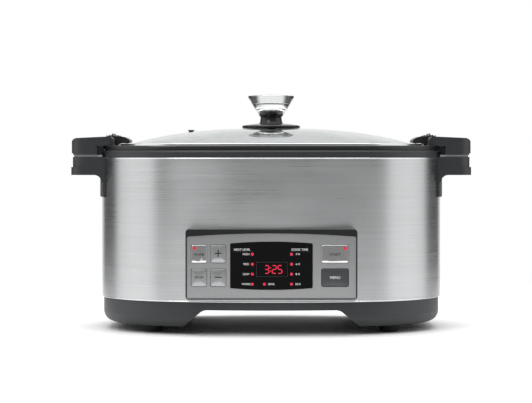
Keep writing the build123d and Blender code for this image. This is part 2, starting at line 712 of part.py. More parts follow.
def upper_profile():
    """Front view of the pan handle on the right."""
    notch_x = UPPER_OUTER - UPPER_NOTCH
    notch_z = HANDLE_TOP_GAP_LEVEL + UPPER_NOTCH_HEIGHT
    round_width, round_height = UPPER_END_ROUND
    end = (UPPER_OUTER, UPPER_END_TOP - round_height)
    bow = (UPPER_OUTER - round_width / 3, UPPER_END_TOP - round_height / 3)
    shoulder = (UPPER_OUTER - round_width, UPPER_END_TOP)
    with BuildSketch() as shape:
        with BuildLine():
            Polyline(
                shoulder, (CLIP_X + CLIP_HUB_RADIUS, UPPER_TOP), (UPPER_INNER, UPPER_TOP),
                (UPPER_INNER, PAN_TOP), (UPPER_HANG, PAN_TOP), (UPPER_HANG, HANDLE_TOP_GAP_LEVEL),
                (notch_x, HANDLE_TOP_GAP_LEVEL), (notch_x, notch_z), (UPPER_OUTER, notch_z), end,
            )
            ThreePointArc(end, bow, shoulder)
        make_face()
        top_left = shape.vertices().group_by(Axis.X)[0].sort_by(Axis.Y)[-1]
        fillet(top_left, UPPER_INNER_ROUND)
    return shape.sketch


def pan_screw_y():
    return (CLIP_HALF_WIDTH + GRIP_HALF_OPENING) / 2 + SCREW_RADIUS


def make_pan_handle(name, side):
    """Handle on the pan's rim, with the pocket and the ears for the lid clip."""
    with BuildPart() as handle:
        with BuildSketch(Plane.XZ):
            add(upper_profile())
        extrude(amount=HANDLE_HALF_SPAN, both=True)
        with BuildSketch(Plane.XY.offset(HANDLE_TOP_GAP_LEVEL)):
            add(handle_plan(UPPER_INNER, UPPER_OUTER))
        extrude(amount=UPPER_TOP - HANDLE_TOP_GAP_LEVEL, mode=Mode.INTERSECT)
        with BuildSketch(Plane.XY.offset(HANDLE_TOP_GAP_LEVEL)):
            with Locations(((BRACKET_OUTER + UPPER_OUTER - GRIP_WIDTH) / 2, 0)):
                Rectangle(UPPER_OUTER - GRIP_WIDTH - BRACKET_OUTER, 2 * GRIP_HALF_OPENING)
            with Locations(((UPPER_HANG + BRACKET_OUTER) / 2, 0)):
                Rectangle(BRACKET_OUTER - UPPER_HANG + 1, 2 * GRIP_HALF_OPENING)
        extrude(amount=PAN_TOP - HANDLE_TOP_GAP_LEVEL, mode=Mode.SUBTRACT)
        with BuildSketch(Plane.XY.offset(PAN_TOP)):
            with Locations(((BRACKET_OUTER + UPPER_OUTER - GRIP_WIDTH) / 2, 0)):
                Rectangle(UPPER_OUTER - GRIP_WIDTH - BRACKET_OUTER, 2 * GRIP_HALF_OPENING)
        extrude(amount=UPPER_TOP - PAN_TOP, mode=Mode.SUBTRACT)
        with BuildSketch(Plane.XY.offset(PAN_TOP)):
            with Locations(((UPPER_INNER + CLIP_POCKET_OUTER) / 2 - 1, 0)):
                Rectangle(CLIP_POCKET_OUTER - UPPER_INNER + 2, 2 * (CLIP_HALF_WIDTH + CLIP_SIDE_GAP))
        extrude(amount=UPPER_TOP - PAN_TOP, mode=Mode.SUBTRACT)
        with BuildSketch(Plane.XZ):
            with Locations((CLIP_X, CLIP_Z)):
                Circle(PIN_RADIUS)
        extrude(amount=CLIP_HALF_WIDTH + CLIP_SIDE_GAP + PIN_BITE, both=True, mode=Mode.SUBTRACT)
        with BuildSketch(Plane.XY.offset(PAN_TOP)):
            with Locations((pan_screw_x(), 0)):
                with GridLocations(1, 2 * pan_screw_y(), 1, 2):
                    Circle(SCREW_RADIUS)
        extrude(amount=(UPPER_TOP - PAN_TOP) / 2, mode=Mode.SUBTRACT)
        if side < 0:
            mirror(about=Plane.YZ, mode=Mode.REPLACE)
    save(handle.part, name)


def pan_screw_x():
    return UPPER_INNER + 2 * SCREW_RADIUS + SCREW_HEAD_RADIUS


def make_pan_handle_screws():
    """Screws up through the pan's rim into both pan handles."""
    with BuildPart() as screws:
        for side in (-1, 1):
            for y in (-pan_screw_y(), pan_screw_y()):
                with Locations((side * pan_screw_x(), y, PAN_SEAT + RIB_HEIGHT / 2)):
                    Cylinder(
                        SCREW_RADIUS, FLANGE_THICKNESS + 2, align=(Align.CENTER, Align.CENTER, Align.MIN),
                    )
    save(screws.part, "pan_handle_screws")


# ------------------------------------------------------------------ pan

def make_cooking_pan():
    with BuildPart() as pan:
        add(slab(PAN_EDGE_INSET, PAN_SEAT, PAN_TOP))
        fillet(pan.faces().sort_by(Axis.Z)[-1].edges(), radius=PAN_EDGE_ROUND)
        add(slab(STEP_OUTER_INSET, LEDGE_LEVEL - PAN_WALL, PAN_SEAT + 1))
        add(
            tapered(
                PAN_BODY_INSET, LEDGE_LEVEL - PAN_WALL + 1, PAN_BODY_INSET + PAN_DRAFT, PAN_BOTTOM,
                PAN_INNER_ROUND + PAN_WALL,
            )
        )
        add(slab(STEP_INSET, LEDGE_LEVEL, PAN_TOP + 1), mode=Mode.SUBTRACT)
        add(
            tapered(
                CAVITY_INSET, LEDGE_LEVEL + 1, CAVITY_INSET + PAN_DRAFT, PAN_BOTTOM + PAN_FLOOR,
                PAN_INNER_ROUND,
            ),
            mode=Mode.SUBTRACT,
        )
        with BuildSketch(Plane.XY.offset(PAN_SEAT)):
            with GridLocations(2 * pan_screw_x(), 2 * pan_screw_y(), 2, 2):
                Circle(SCREW_RADIUS)
        extrude(amount=FLANGE_THICKNESS, mode=Mode.SUBTRACT)
    save(pan.part, "cooking_pan")


# ------------------------------------------------------------------ lid clips

def clip_profile():
    """Front view of the right clip about its pivot: a ribbed top and a beak over the lid's rim."""
    turn = math.radians(CLIP_SWING)
    relief = CLIP_Z - PAN_TOP - 2 * FIT
    depth = 2 * CLIP_TOP
    with BuildSketch() as shape:
        Circle(CLIP_HUB_RADIUS)
        with BuildLine():
            Polyline(
                (-18.4, -0.6), (-16.0, -1.2), (-13.6, -1.5), (-9.4, -0.9), (-6.0, -1.6), (-3.0, -2.9),
                (4.1, 0.5), (6.6, CLIP_TOP), (-8.0, CLIP_TOP),
            )
            ThreePointArc((-8.0, CLIP_TOP), (-15.2, 5.3), (-20.0, 2.4))
            ThreePointArc((-20.0, 2.4), (-20.3, 0.8), (-18.4, -0.6))
        make_face()
        for index, rib_top in enumerate(RIB_TOPS):
            middle = (index - 2) * RIB_PITCH - 0.2
            with BuildLine():
                Polyline(
                    (middle - RIB_HALF, CLIP_TOP - 1), (middle + RIB_HALF, CLIP_TOP - 1),
                    (middle + RIB_HALF, CLIP_TOP), (middle, rib_top), (middle - RIB_HALF, CLIP_TOP),
                    close=True,
                )
            make_face()
        with Locations(Pos((relief + depth / 2) * math.sin(turn), -(relief + depth / 2) * math.cos(turn))):
            Rectangle(4 * depth, depth, rotation=CLIP_SWING, mode=Mode.SUBTRACT)
    return shape.sketch


def make_clip(name, side):
    with BuildPart() as clip:
        with BuildSketch(Plane.XZ):
            with Locations((CLIP_X, CLIP_Z)):
                add(clip_profile())
        extrude(amount=CLIP_HALF_WIDTH, both=True)
        with BuildSketch(Plane.XZ):
            with Locations((CLIP_X, CLIP_Z)):
                Circle(PIN_RADIUS + PIN_CLEARANCE)
        extrude(amount=CLIP_HALF_WIDTH, both=True, mode=Mode.SUBTRACT)
        if side < 0:
            mirror(about=Plane.YZ, mode=Mode.REPLACE)
    save(clip.part, f"lid_clip_{name}")

    with BuildPart() as pin:
        with Locations(Pos(side * CLIP_X, 0, CLIP_Z) * Rot(90, 0, 0)):
            Cylinder(PIN_RADIUS, 2 * (CLIP_HALF_WIDTH + CLIP_SIDE_GAP + PIN_BITE))
    save(pin.part, f"clip_pin_{name}")


# ------------------------------------------------------------------ lid

def dome(base_inset, base_level, drop):
    """A domed block: the lid's outline at its foot, drawn in over the sections of the dome."""
    base_half = BODY_HALF_WIDTH - base_inset
    shoulder, shoulder_level = DOME_SHOULDER
    with BuildPart() as block:
        with BuildSketch(Plane.XY.offset(base_level)):
            add(oval(base_inset))
        for half, level in ((shoulder, shoulder_level), *DOME, (DOME_CAP_HALF, DOME_CAP)):
            with BuildSketch(Plane.XY.offset(level - drop)):
                add(oval(base_inset).scale((half - drop) / base_half))
        loft()
    return block.part


def make_lid_glass():
    border_bottom = GLASS_BORDER_TOP - GLASS
    with BuildPart() as glass:
        add(slab(GLASS_INSET, border_bottom, GLASS_BORDER_TOP))
        add(dome(DOME_BASE_INSET, GLASS_BORDER_TOP - 0.2, 0))
        add(dome(DOME_BASE_INSET + GLASS, GLASS_BORDER_TOP - GLASS - 0.2, GLASS), mode=Mode.SUBTRACT)
        with Locations((0, 0, DOME_CAP)):
            Hole(SCREW_RADIUS + 1, depth=2 * GLASS)
        with Locations((VENT_X, 0, DOME_CAP)):
            Hole(VENT_NECK + FIT, depth=4 * GLASS)
    save(glass.part, "lid_glass")


def make_lid_rim():
    with BuildPart() as rim:
        add(band(LID_INSET, LID_INSET + RIM_WALL, RIM_TOP - RIM_HEIGHT, RIM_TOP))
        add(band(LID_INSET, LID_INSET + RIM_LIP, RIM_TOP - RIM_LIP_THICKNESS, RIM_TOP))
        fillet(rim.faces().sort_by(Axis.Z)[-1].outer_wire().edges(), radius=0.7)
    save(rim.part, "lid_rim")


def make_lid_seal():
    top = GLASS_BORDER_TOP - GLASS
    low = top - SEAL_THICKNESS
    lip_inset = GLASS_INSET + DOME_START - SEAL_LIP_WIDTH
    with BuildPart() as seal:
        add(band(GLASS_INSET, lip_inset + SEAL_LIP_WIDTH, low, top))
        add(band(lip_inset, lip_inset + SEAL_LIP_WIDTH, low - SEAL_LIP, top))
    save(seal.part, "lid_seal")


def make_steam_vent():
    with BuildPart() as vent:
        with BuildSketch(Plane.XZ):
            with BuildLine():
                Polyline(
                    (0, VENT_Z - GLASS - VENT_PROUD), (VENT_RADIUS, VENT_Z - GLASS - VENT_PROUD),
                    (VENT_RADIUS - 0.5, VENT_Z - GLASS - 0.8), (VENT_NECK, VENT_Z - GLASS - 0.8),
                    (VENT_NECK, VENT_Z + 0.6), (VENT_RADIUS, VENT_Z + 0.6),
                    (VENT_RADIUS - 0.6, VENT_Z + VENT_PROUD), (0, VENT_Z + VENT_PROUD), close=True,
                )
            make_face()
        revolve(axis=Axis.Z)
        with Locations((0, 0, VENT_Z + VENT_PROUD)):
            Hole(VENT_BORE, depth=GLASS + 2 * VENT_PROUD)
    moved = vent.part.moved(Pos(VENT_X, 0, 0))
    save(moved, "steam_vent")


def make_knob():
    seat = DOME_CAP + FIT
    edge_top = seat + SKIRT_EDGE
    skirt_top = edge_top + SKIRT_RISE
    rim = SKIRT_RADIUS - SKIRT_EDGE / 2
    with BuildPart() as skirt:
        with BuildSketch(Plane.XZ):
            with BuildLine():
                Polyline((NECK_FOOT_RADIUS + 1, skirt_top), (0, skirt_top), (0, seat), (rim, seat))
                ThreePointArc((rim, seat), (SKIRT_RADIUS, seat + SKIRT_EDGE / 2), (rim, edge_top))
                ThreePointArc(
                    (rim, edge_top), (SKIRT_RADIUS * 0.7, edge_top + SKIRT_RISE / 2),
                    (NECK_FOOT_RADIUS + 1, skirt_top),
                )
            make_face()
        revolve(axis=Axis.Z)
        with Locations((0, 0, skirt_top)):
            Hole(SCREW_RADIUS + FIT, depth=SKIRT_EDGE + SKIRT_RISE)
    save(skirt.part, "knob_skirt")

    with BuildPart() as core:
        with BuildSketch(Plane.XZ) as profile:
            with BuildLine():
                Polyline(
                    (PINCH_RADIUS, PINCH_Z), (CORE_RADIUS - 0.5, CORE_SHOULDER), (CORE_RADIUS, CORE_TOP),
                    (0, CORE_TOP), (0, skirt_top), (NECK_FOOT_RADIUS, skirt_top),
                )
                Spline((NECK_FOOT_RADIUS, skirt_top), (NECK_RADIUS, NECK_Z), (PINCH_RADIUS, PINCH_Z))
            make_face()
            top_edge = profile.vertices().filter_by_position(Axis.Y, CORE_TOP - 1, CORE_TOP + 1)
            fillet(top_edge.sort_by(Axis.X)[-1], CORE_ROUND)
        revolve(axis=Axis.Z)
        with BuildSketch(Plane.XY.offset(skirt_top)):
            Circle(SCREW_RADIUS)
        extrude(amount=KNOB_SCREW_LENGTH - GLASS - SKIRT_EDGE - SKIRT_RISE, mode=Mode.SUBTRACT)
    save(core.part, "knob_core")

    lip = (CONE_RADIUS - CONE_ROUND / 2, CONE_SHOULDER + CONE_ROUND)
    with BuildPart() as cone:
        with BuildSketch(Plane.XZ):
            with BuildLine():
                Polyline(
                    (0, CONE_TOP), (0, PINCH_Z), (PINCH_RADIUS + CONE_FOOT, PINCH_Z),
                    (CONE_RADIUS, CONE_SHOULDER),
                )
                ThreePointArc(
                    (CONE_RADIUS, CONE_SHOULDER), (CONE_RADIUS + 0.1, CONE_SHOULDER + CONE_ROUND * 0.6), lip,
                )
                Polyline(
                    lip, (CONE_RADIUS * 0.7, CONE_TOP - 0.6), (CONE_RADIUS * 0.35, CONE_TOP - 0.1),
                    (0, CONE_TOP),
                )
            make_face()
        revolve(axis=Axis.Z)
        add(core.part, mode=Mode.SUBTRACT)
        with BuildSketch(Plane.XY.offset(PINCH_Z)):
            Circle(PINCH_RADIUS)
        extrude(amount=CORE_SHOULDER - PINCH_Z, mode=Mode.SUBTRACT)
        with BuildSketch(Plane.XY.offset(PINCH_Z)):
            Circle(2 * SCREW_RADIUS)
        extrude(amount=CORE_TOP - PINCH_Z, mode=Mode.SUBTRACT)
    save(cone.part, "knob_cone")

    with BuildPart() as screw:
        with Locations((0, 0, DOME_CAP - GLASS)):
            Cylinder(SCREW_RADIUS, KNOB_SCREW_LENGTH, align=(Align.CENTER, Align.CENTER, Align.MIN))
            Cylinder(SCREW_HEAD_RADIUS * 2, KNOB_WASHER, align=(Align.CENTER, Align.CENTER, Align.MAX))
        with Locations((0, 0, DOME_CAP - GLASS - KNOB_WASHER)):
            Cylinder(SCREW_HEAD_RADIUS, SCREW_HEAD_HEIGHT, align=(Align.CENTER, Align.CENTER, Align.MAX))
    save(screw.part, "knob_screw")


# ------------------------------------------------------------------ control panel

def arched(half, low, high, rise, arched_bottom=0.0):
    """A panel face with an arched top, and an arched bottom when asked."""
    with BuildSketch() as shape:
        with BuildLine():
            Line((half, low), (half, high))
            ThreePointArc((half, high), (0, high + rise), (-half, high))
            Line((-half, high), (-half, low))
            if arched_bottom:
                ThreePointArc((-half, low), (0, low - arched_bottom), (half, low))
            else:
                Line((-half, low), (half, low))
        make_face()
        fillet(shape.vertices(), radius=FACE_ROUND)
    return shape.sketch


def plate_face(growth=0.0):
    return arched(
        PLATE_HALF + growth, PLATE_BOTTOM - growth, PLATE_TOP_EDGE + growth,
        PLATE_TOP_MIDDLE - PLATE_TOP_EDGE,
    )


def window_face(growth=0.0):
    return arched(
        WINDOW_HALF + growth, WINDOW_BOTTOM + WINDOW_ARCH - growth, WINDOW_TOP - WINDOW_ARCH + growth,
        WINDOW_ARCH, WINDOW_ARCH,
    )


def lug_places():
    x = OPENING_HALF - LUG_WIDTH / 2
    levels = (OPENING_BOTTOM + LUG_HEIGHT / 2, OPENING_TOP - LUG_HEIGHT / 2)
    return [(side * x, z) for side in (-1, 1) for z in levels]


def make_panel_bezel():
    middle = (PANEL_BOTTOM + PANEL_TOP) / 2
    opening_middle = (OPENING_BOTTOM + OPENING_TOP) / 2
    with BuildPart() as bezel:
        with BuildSketch(panel_plane(FRONT_FACE + PANEL_DEPTH)):
            with Locations((0, middle)):
                RectangleRounded(2 * PANEL_HALF_WIDTH, PANEL_TOP - PANEL_BOTTOM, PANEL_CORNER)
        extrude(amount=PANEL_DEPTH)
        fillet(bezel.faces().sort_by(Axis.Y)[0].edges(), radius=1.0)
        add(slab(-FIT, PANEL_BOTTOM - 1, PANEL_TOP + 1), mode=Mode.SUBTRACT)
        with BuildSketch(panel_plane(PLATE_BACK + FIT)):
            add(plate_face(FIT))
        extrude(amount=PLATE_DEPTH + PLATE_RECESS + 1, mode=Mode.SUBTRACT)
        with BuildSketch(panel_plane(FRONT_FACE + PANEL_DEPTH)):
            with Locations((0, opening_middle)):
                Rectangle(2 * OPENING_HALF, OPENING_TOP - OPENING_BOTTOM)
        extrude(amount=PANEL_DEPTH, mode=Mode.SUBTRACT)
        with BuildSketch(panel_plane(BOARD_FACE)):
            with Locations(lug_places()):
                Rectangle(LUG_WIDTH, LUG_HEIGHT)
        extrude(amount=BOARD_FACE - PLATE_BACK - FIT)
        with BuildSketch(panel_plane(BOARD_FACE)):
            with Locations(lug_places()):
                Circle(SCREW_RADIUS / 2)
        extrude(amount=(BOARD_FACE - PLATE_BACK) / 2, mode=Mode.SUBTRACT)
    save(bezel.part, "panel_bezel")


def make_panel_plate():
    with BuildPart() as plate:
        with BuildSketch(panel_plane(PLATE_BACK)):
            add(plate_face())
        extrude(amount=PLATE_DEPTH)
        with BuildSketch(panel_plane(PLATE_BACK)):
            add(window_face(FIT))
            for _, x, z, width, height in KEYS:
                with Locations((x, z)):
                    RectangleRounded(width + 2 * KEY_GAP, height + 2 * KEY_GAP, KEY_ROUND + KEY_GAP)
        extrude(amount=PLATE_DEPTH, mode=Mode.SUBTRACT)
    save(plate.part, "panel_plate")


def make_keys():
    for name, x, z, width, height in KEYS:
        with BuildPart() as key:
            with BuildSketch(panel_plane(PLATE_BACK + FIT)):
                with Locations((x, z)):
                    RectangleRounded(width, height, KEY_ROUND)
            extrude(amount=PLATE_BACK + FIT - KEY_FACE)
            fillet(key.faces().sort_by(Axis.Y)[0].edges(), radius=0.6)
            with BuildSketch(panel_plane(KEY_BACK)):
                with Locations((x, z)):
                    RectangleRounded(width + 2 * KEY_FLANGE, height + 2 * KEY_FLANGE, KEY_ROUND + KEY_FLANGE)
            extrude(amount=KEY_BACK - PLATE_BACK - FIT)
        save(key.part, name)


def make_display():
    with BuildPart() as window:
        with BuildSketch(panel_plane(PLATE_FACE + WINDOW_DEPTH)):
            add(window_face())
        extrude(amount=WINDOW_DEPTH + WINDOW_PROUD)
        fillet(window.faces().sort_by(Axis.Y)[0].edges(), radius=WINDOW_PROUD)
    save(window.part, "display_window")

    width, height, middle = DIGITS
    window_back = PLATE_FACE + WINDOW_DEPTH
    with BuildPart() as module:
        with BuildSketch(panel_plane(BOARD_FACE)):
            with Locations((0, middle)):
                Rectangle(width, height)
        extrude(amount=BOARD_FACE - window_back - 2 * FIT)
    save(module.part, "digit_module")

    with BuildPart() as lamps:
        with BuildSketch(panel_plane(BOARD_FACE)):
            with Locations(*LEDS):
                Circle(LED_RADIUS)
        extrude(amount=BOARD_FACE - window_back - 2 * FIT)
    save(lamps.part, "indicator_leds")


def make_boards():
    """Control board and key mats behind the plate, and the power board on the base's deck."""
    with BuildPart() as mats:
        for side in (-1, 1):
            keys = [key for key in KEYS if key[1] * side > 0]
            low_x = min(x - width / 2 for _, x, _, width, _ in keys) - KEY_FLANGE
            high_x = max(x + width / 2 for _, x, _, width, _ in keys) + KEY_FLANGE
            low_z = min(z - height / 2 for _, _, z, _, height in keys) - KEY_FLANGE
            high_z = max(z + height / 2 for _, _, z, _, height in keys) + KEY_FLANGE
            with BuildSketch(panel_plane(BOARD_FACE)):
                with Locations(((low_x + high_x) / 2, (low_z + high_z) / 2)):
                    Rectangle(min(high_x - low_x, 2 * OPENING_HALF), high_z - low_z)
                with Locations(lug_places()):
                    Rectangle(LUG_WIDTH + 2 * FIT, LUG_HEIGHT + 2 * FIT, mode=Mode.SUBTRACT)
            extrude(amount=MAT_DEPTH)
    save(mats.part, "key_mats")

    opening_middle = (OPENING_BOTTOM + OPENING_TOP) / 2
    with BuildPart() as board:
        with BuildSketch(panel_plane(BOARD_FACE + BOARD_THICKNESS)):
            with Locations((0, opening_middle)):
                Rectangle(
                    2 * OPENING_HALF - BOARD_MARGIN, OPENING_TOP - OPENING_BOTTOM - BOARD_MARGIN,
                )
            with Locations(lug_places()):
                Circle(SCREW_RADIUS / 2 + FIT, mode=Mode.SUBTRACT)
        extrude(amount=BOARD_THICKNESS)
    save(board.part, "control_board")

    with BuildPart() as screws:
        with BuildSketch(panel_plane(BOARD_FACE + BOARD_THICKNESS)):
            with Locations(lug_places()):
                Circle(SCREW_RADIUS / 2)
        extrude(amount=BOARD_THICKNESS + (BOARD_FACE - PLATE_BACK) / 2 - FIT)
        with BuildSketch(panel_plane(BOARD_FACE + BOARD_THICKNESS)):
            with Locations(lug_places()):
                Circle(SCREW_RADIUS)
        extrude(amount=-PANEL_SCREW_HEAD)
    save(screws.part, "panel_screws")

    level = DECK_LEVEL + POST_HEIGHT
    with BuildPart() as power:
        with BuildSketch(Plane.XY.offset(level)):
            Rectangle(*POWER_BOARD)
        extrude(amount=BOARD_THICKNESS)
        with BuildSketch(Plane.XY.offset(level + BOARD_THICKNESS)):
            for x, y, width, depth in POWER_BLOCKS:
                with Locations((x, y)):
                    Rectangle(width, depth)
        extrude(amount=BLOCK_HEIGHT)
        with BuildSketch(Plane.XY.offset(level + BOARD_THICKNESS)):
            with Locations(*CAPACITORS):
                Circle(CAPACITOR_RADIUS)
        extrude(amount=CAPACITOR_HEIGHT)
    save(power.part, "power_board")

    start = BOARD_FACE + BOARD_THICKNESS + FIT
    bend = start + RIBBON_BEND
    high = OPENING_BOTTOM + RIBBON_BEND
    foot_y = RIBBON_FOOT - POWER_BOARD[1] / 2
    foot = level + BOARD_THICKNESS + FIT
    knee = foot + RIBBON_FOOT
    thick = RIBBON_THICKNESS
    with BuildPart() as ribbon:
        with BuildSketch(Plane.YZ):
            with BuildLine():
                Polyline(
                    (start, high), (bend, high), (foot_y, knee), (foot_y, foot), (foot_y + thick, foot),
                    (foot_y + thick, knee + thick / 2), (bend + thick / 2, high + thick),
                    (start, high + thick), close=True,
                )
            make_face()
        extrude(amount=RIBBON_HALF_WIDTH, both=True)
    save(ribbon.part, "ribbon_cable")


def make_cord_gland():
    outer = BODY_HALF_DEPTH + PANEL_PROUD
    nut_start = BODY_HALF_DEPTH - WRAP_WALL - 0.4
    with BuildPart() as gland:
        with BuildSketch(Plane.XZ.offset(-outer)):
            with Locations((0, GLAND_Z)):
                Circle(GLAND_FLANGE_RADIUS)
        extrude(amount=PANEL_PROUD - FIT)
        fillet(gland.faces().sort_by(Axis.Y)[-1].edges(), radius=1.5)
        with BuildSketch(Plane.XZ.offset(-outer + 1)):
            with Locations((0, GLAND_Z)):
                Circle(GLAND_NECK_RADIUS)
        extrude(amount=GLAND_LENGTH - 1)
        with BuildSketch(Plane.XZ.offset(-nut_start)):
            with Locations((0, GLAND_Z)):
                RegularPolygon(GLAND_FLANGE_RADIUS, 6)
        extrude(amount=GLAND_NUT_THICKNESS)
        with BuildSketch(Plane.XZ.offset(-outer)):
            with Locations((0, GLAND_Z)):
                Circle(GLAND_BORE_RADIUS)
        extrude(amount=GLAND_LENGTH, mode=Mode.SUBTRACT)
    save(gland.part, "cord_gland")


def main():
    os.makedirs("parts", exist_ok=True)
    make_outer_wrap()
    make_base_tray()
    make_feet()
    make_foot_screws()
    make_top_collar()
    make_inner_well()
    make_heating_plate()
    make_heating_element()
    make_heat_shield()
    make_tie_rods()
    make_sensor()
    make_thermal_fuse()
    make_cooking_pan()
    for side_name, side in SIDES:
        make_side_handle(f"side_handle_{side_name}", side)
        make_handle_pad(f"handle_pad_{side_name}", side)
        make_pan_handle(f"pan_handle_{side_name}", side)
        make_clip(side_name, side)
    make_side_handle_screws()
    make_pan_handle_screws()
    make_lid_glass()
    make_lid_rim()
    make_lid_seal()
    make_steam_vent()
    make_knob()
    make_panel_bezel()
    make_panel_plate()
    make_keys()
    make_display()
    make_boards()
    make_cord_gland()


main()
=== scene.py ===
import json
import math

import bmesh
import bpy
from bpy.props import FloatProperty, FloatVectorProperty, IntProperty, PointerProperty
from mathutils import Matrix, Vector


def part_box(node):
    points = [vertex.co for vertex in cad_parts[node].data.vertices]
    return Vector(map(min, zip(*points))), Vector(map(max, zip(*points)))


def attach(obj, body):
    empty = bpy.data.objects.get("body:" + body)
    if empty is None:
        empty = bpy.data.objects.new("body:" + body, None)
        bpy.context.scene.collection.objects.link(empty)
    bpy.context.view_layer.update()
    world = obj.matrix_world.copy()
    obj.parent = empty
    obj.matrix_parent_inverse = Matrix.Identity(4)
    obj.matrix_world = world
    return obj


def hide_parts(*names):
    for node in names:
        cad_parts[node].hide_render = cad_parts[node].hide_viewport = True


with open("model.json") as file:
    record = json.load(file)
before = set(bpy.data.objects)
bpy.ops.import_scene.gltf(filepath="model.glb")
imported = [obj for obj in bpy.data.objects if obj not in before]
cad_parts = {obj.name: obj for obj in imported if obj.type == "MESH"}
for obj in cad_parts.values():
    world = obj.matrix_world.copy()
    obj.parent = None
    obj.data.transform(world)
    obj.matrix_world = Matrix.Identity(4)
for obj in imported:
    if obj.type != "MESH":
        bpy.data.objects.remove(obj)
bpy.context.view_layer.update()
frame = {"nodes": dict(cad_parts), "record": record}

bl_info = {
    "name": "Slow Cooker Looks",
    "version": (1, 0, 0),
    "blender": (4, 5, 0),
    "location": "View3D > Sidebar > Slow Cooker",
    "description": "Builds the detailed pieces, finishes and stage of a countertop slow cooker",
    "category": "Object",
}

MM = 0.001
NODES = frame["nodes"]
SLOT_OF_NODE = {part["node"]: part["material_slot"] for part in frame["record"]["subparts"]}
WRAP_LOW, WRAP_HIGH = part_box("outer_wrap")
WINDOW_LOW, WINDOW_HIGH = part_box("display_window")
RIM_LOW, RIM_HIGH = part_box("lid_rim")
GLASS_LOW, GLASS_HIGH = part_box("lid_glass")
SKIRT_LOW, SKIRT_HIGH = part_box("knob_skirt")
CORE_LOW, CORE_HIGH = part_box("knob_core")
CONE_LOW, CONE_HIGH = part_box("knob_cone")
KEY_NODES = ("key_warm", "key_cancel", "key_plus", "key_minus", "key_start", "key_menu")
FOOT_NODES = ("foot_front_left", "foot_front_right", "foot_rear_left", "foot_rear_right")
SKIN = 0.05 * MM                # printed marks stand this far off their surface
CORE_GAP = 0.06 * MM            # between the knob's dark core and its clear top
CAMERA_PLACE = (-0.006, -2.45, 0.200)
CAMERA_DROP = 1.27              # degrees the camera looks down
CAMERA_LENS = 140.8             # millimetres, on a sensor 36 wide
# Brightness around the room, from straight ahead of the cooker (0) to straight behind it (1)
ROOM_CARDS = (
    (0.0, 0.24), (0.10, 0.26), (0.19, 0.38), (0.27, 1.0), (0.48, 1.1), (0.66, 0.95), (0.76, 0.10),
    (0.93, 0.12), (0.97, 0.9),
)
LENGTH = {"subtype": "DISTANCE", "unit": "LENGTH"}


# ------------------------------------------------------------------ settings

class CookerSizes(bpy.types.PropertyGroup):
    """Sizes of the body's outline and of the pieces built here."""

    front_radius: FloatProperty(name="Front radius", description="Arc of the front", default=0.430, **LENGTH)
    corner_radius: FloatProperty(name="Corner radius", description="Arc of a corner", default=0.122, **LENGTH)
    side_radius: FloatProperty(name="Side radius", description="Arc of a side", default=0.620, **LENGTH)
    glass: FloatProperty(name="Glass", description="Thickness of the lid's glass", default=0.0035, **LENGTH)
    around: IntProperty(name="Steps around", description="Faces around a turned piece", default=96)
    key_crown: FloatProperty(name="Key crown", description="Rise of a key's face", default=0.0009, **LENGTH)
    digit_height: FloatProperty(name="Digit", description="Height of a digit", default=0.0086, **LENGTH)
    lamp_radius: FloatProperty(name="Lamp", description="Radius of an indicator", default=0.00165, **LENGTH)


class CookerColours(bpy.types.PropertyGroup):
    """Colours of the main finishes."""

    steel: FloatVectorProperty(name="Steel", description="Wrap", subtype="COLOR", default=(0.56, 0.57, 0.575))
    plastic: FloatVectorProperty(name="Plastic", description="Base and handles", subtype="COLOR",
                                 default=(0.023, 0.026, 0.028))
    silver: FloatVectorProperty(name="Silver", description="Panel plate", subtype="COLOR",
                                default=(0.42, 0.425, 0.43))
    lit: FloatVectorProperty(name="Lit", description="Digits and lamps", subtype="COLOR",
                             default=(0.80, 0.02, 0.06))


def sizes():
    return bpy.context.scene.cooker_sizes


def colours():
    return bpy.context.scene.cooker_colours


# ------------------------------------------------------------------ the body's outline

def outline_arcs():
    """Front and side arc centres and the corner centre of the body's outline."""
    half_width, half_depth = WRAP_HIGH.x, WRAP_HIGH.y
    front = Vector((0.0, half_depth - sizes().front_radius))
    side = Vector((half_width - sizes().side_radius, 0.0))
    to_front = sizes().front_radius - sizes().corner_radius
    to_side = sizes().side_radius - sizes().corner_radius
    line = side - front
    span = line.length
    along = (to_front ** 2 - to_side ** 2 + span ** 2) / (2 * span)
    across = math.sqrt(to_front ** 2 - along ** 2)
    unit = line / span
    corner = front + unit * along + Vector((unit.y, -unit.x)) * across
    return front, side, corner


def outline_point(angle, inset):
    """Where a ray at this angle from the middle meets the outline, moved inwards by inset."""
    front, side, corner = outline_arcs()
    ray = Vector((abs(math.cos(angle)), abs(math.sin(angle))))
    radius = sizes().corner_radius - inset
    front_end = corner + (corner - front).normalized() * radius
    side_end = corner + (corner - side).normalized() * radius
    slope = math.atan2(ray.y, ray.x)
    centre = corner
    if slope > math.atan2(front_end.y, front_end.x):
        centre, radius = front, sizes().front_radius - inset
    elif slope < math.atan2(side_end.y, side_end.x):
        centre, radius = side, sizes().side_radius - inset
    reach = centre.dot(ray) + math.sqrt(radius ** 2 - centre.length_squared + centre.dot(ray) ** 2)
    return Vector((math.cos(angle) * reach, math.sin(angle) * reach))


# ------------------------------------------------------------------ mesh helpers

def edges_in(geometry):
    return [item for item in geometry if isinstance(item, bmesh.types.BMEdge)]


def verts_in(geometry):
    return [item for item in geometry if isinstance(item, bmesh.types.BMVert)]


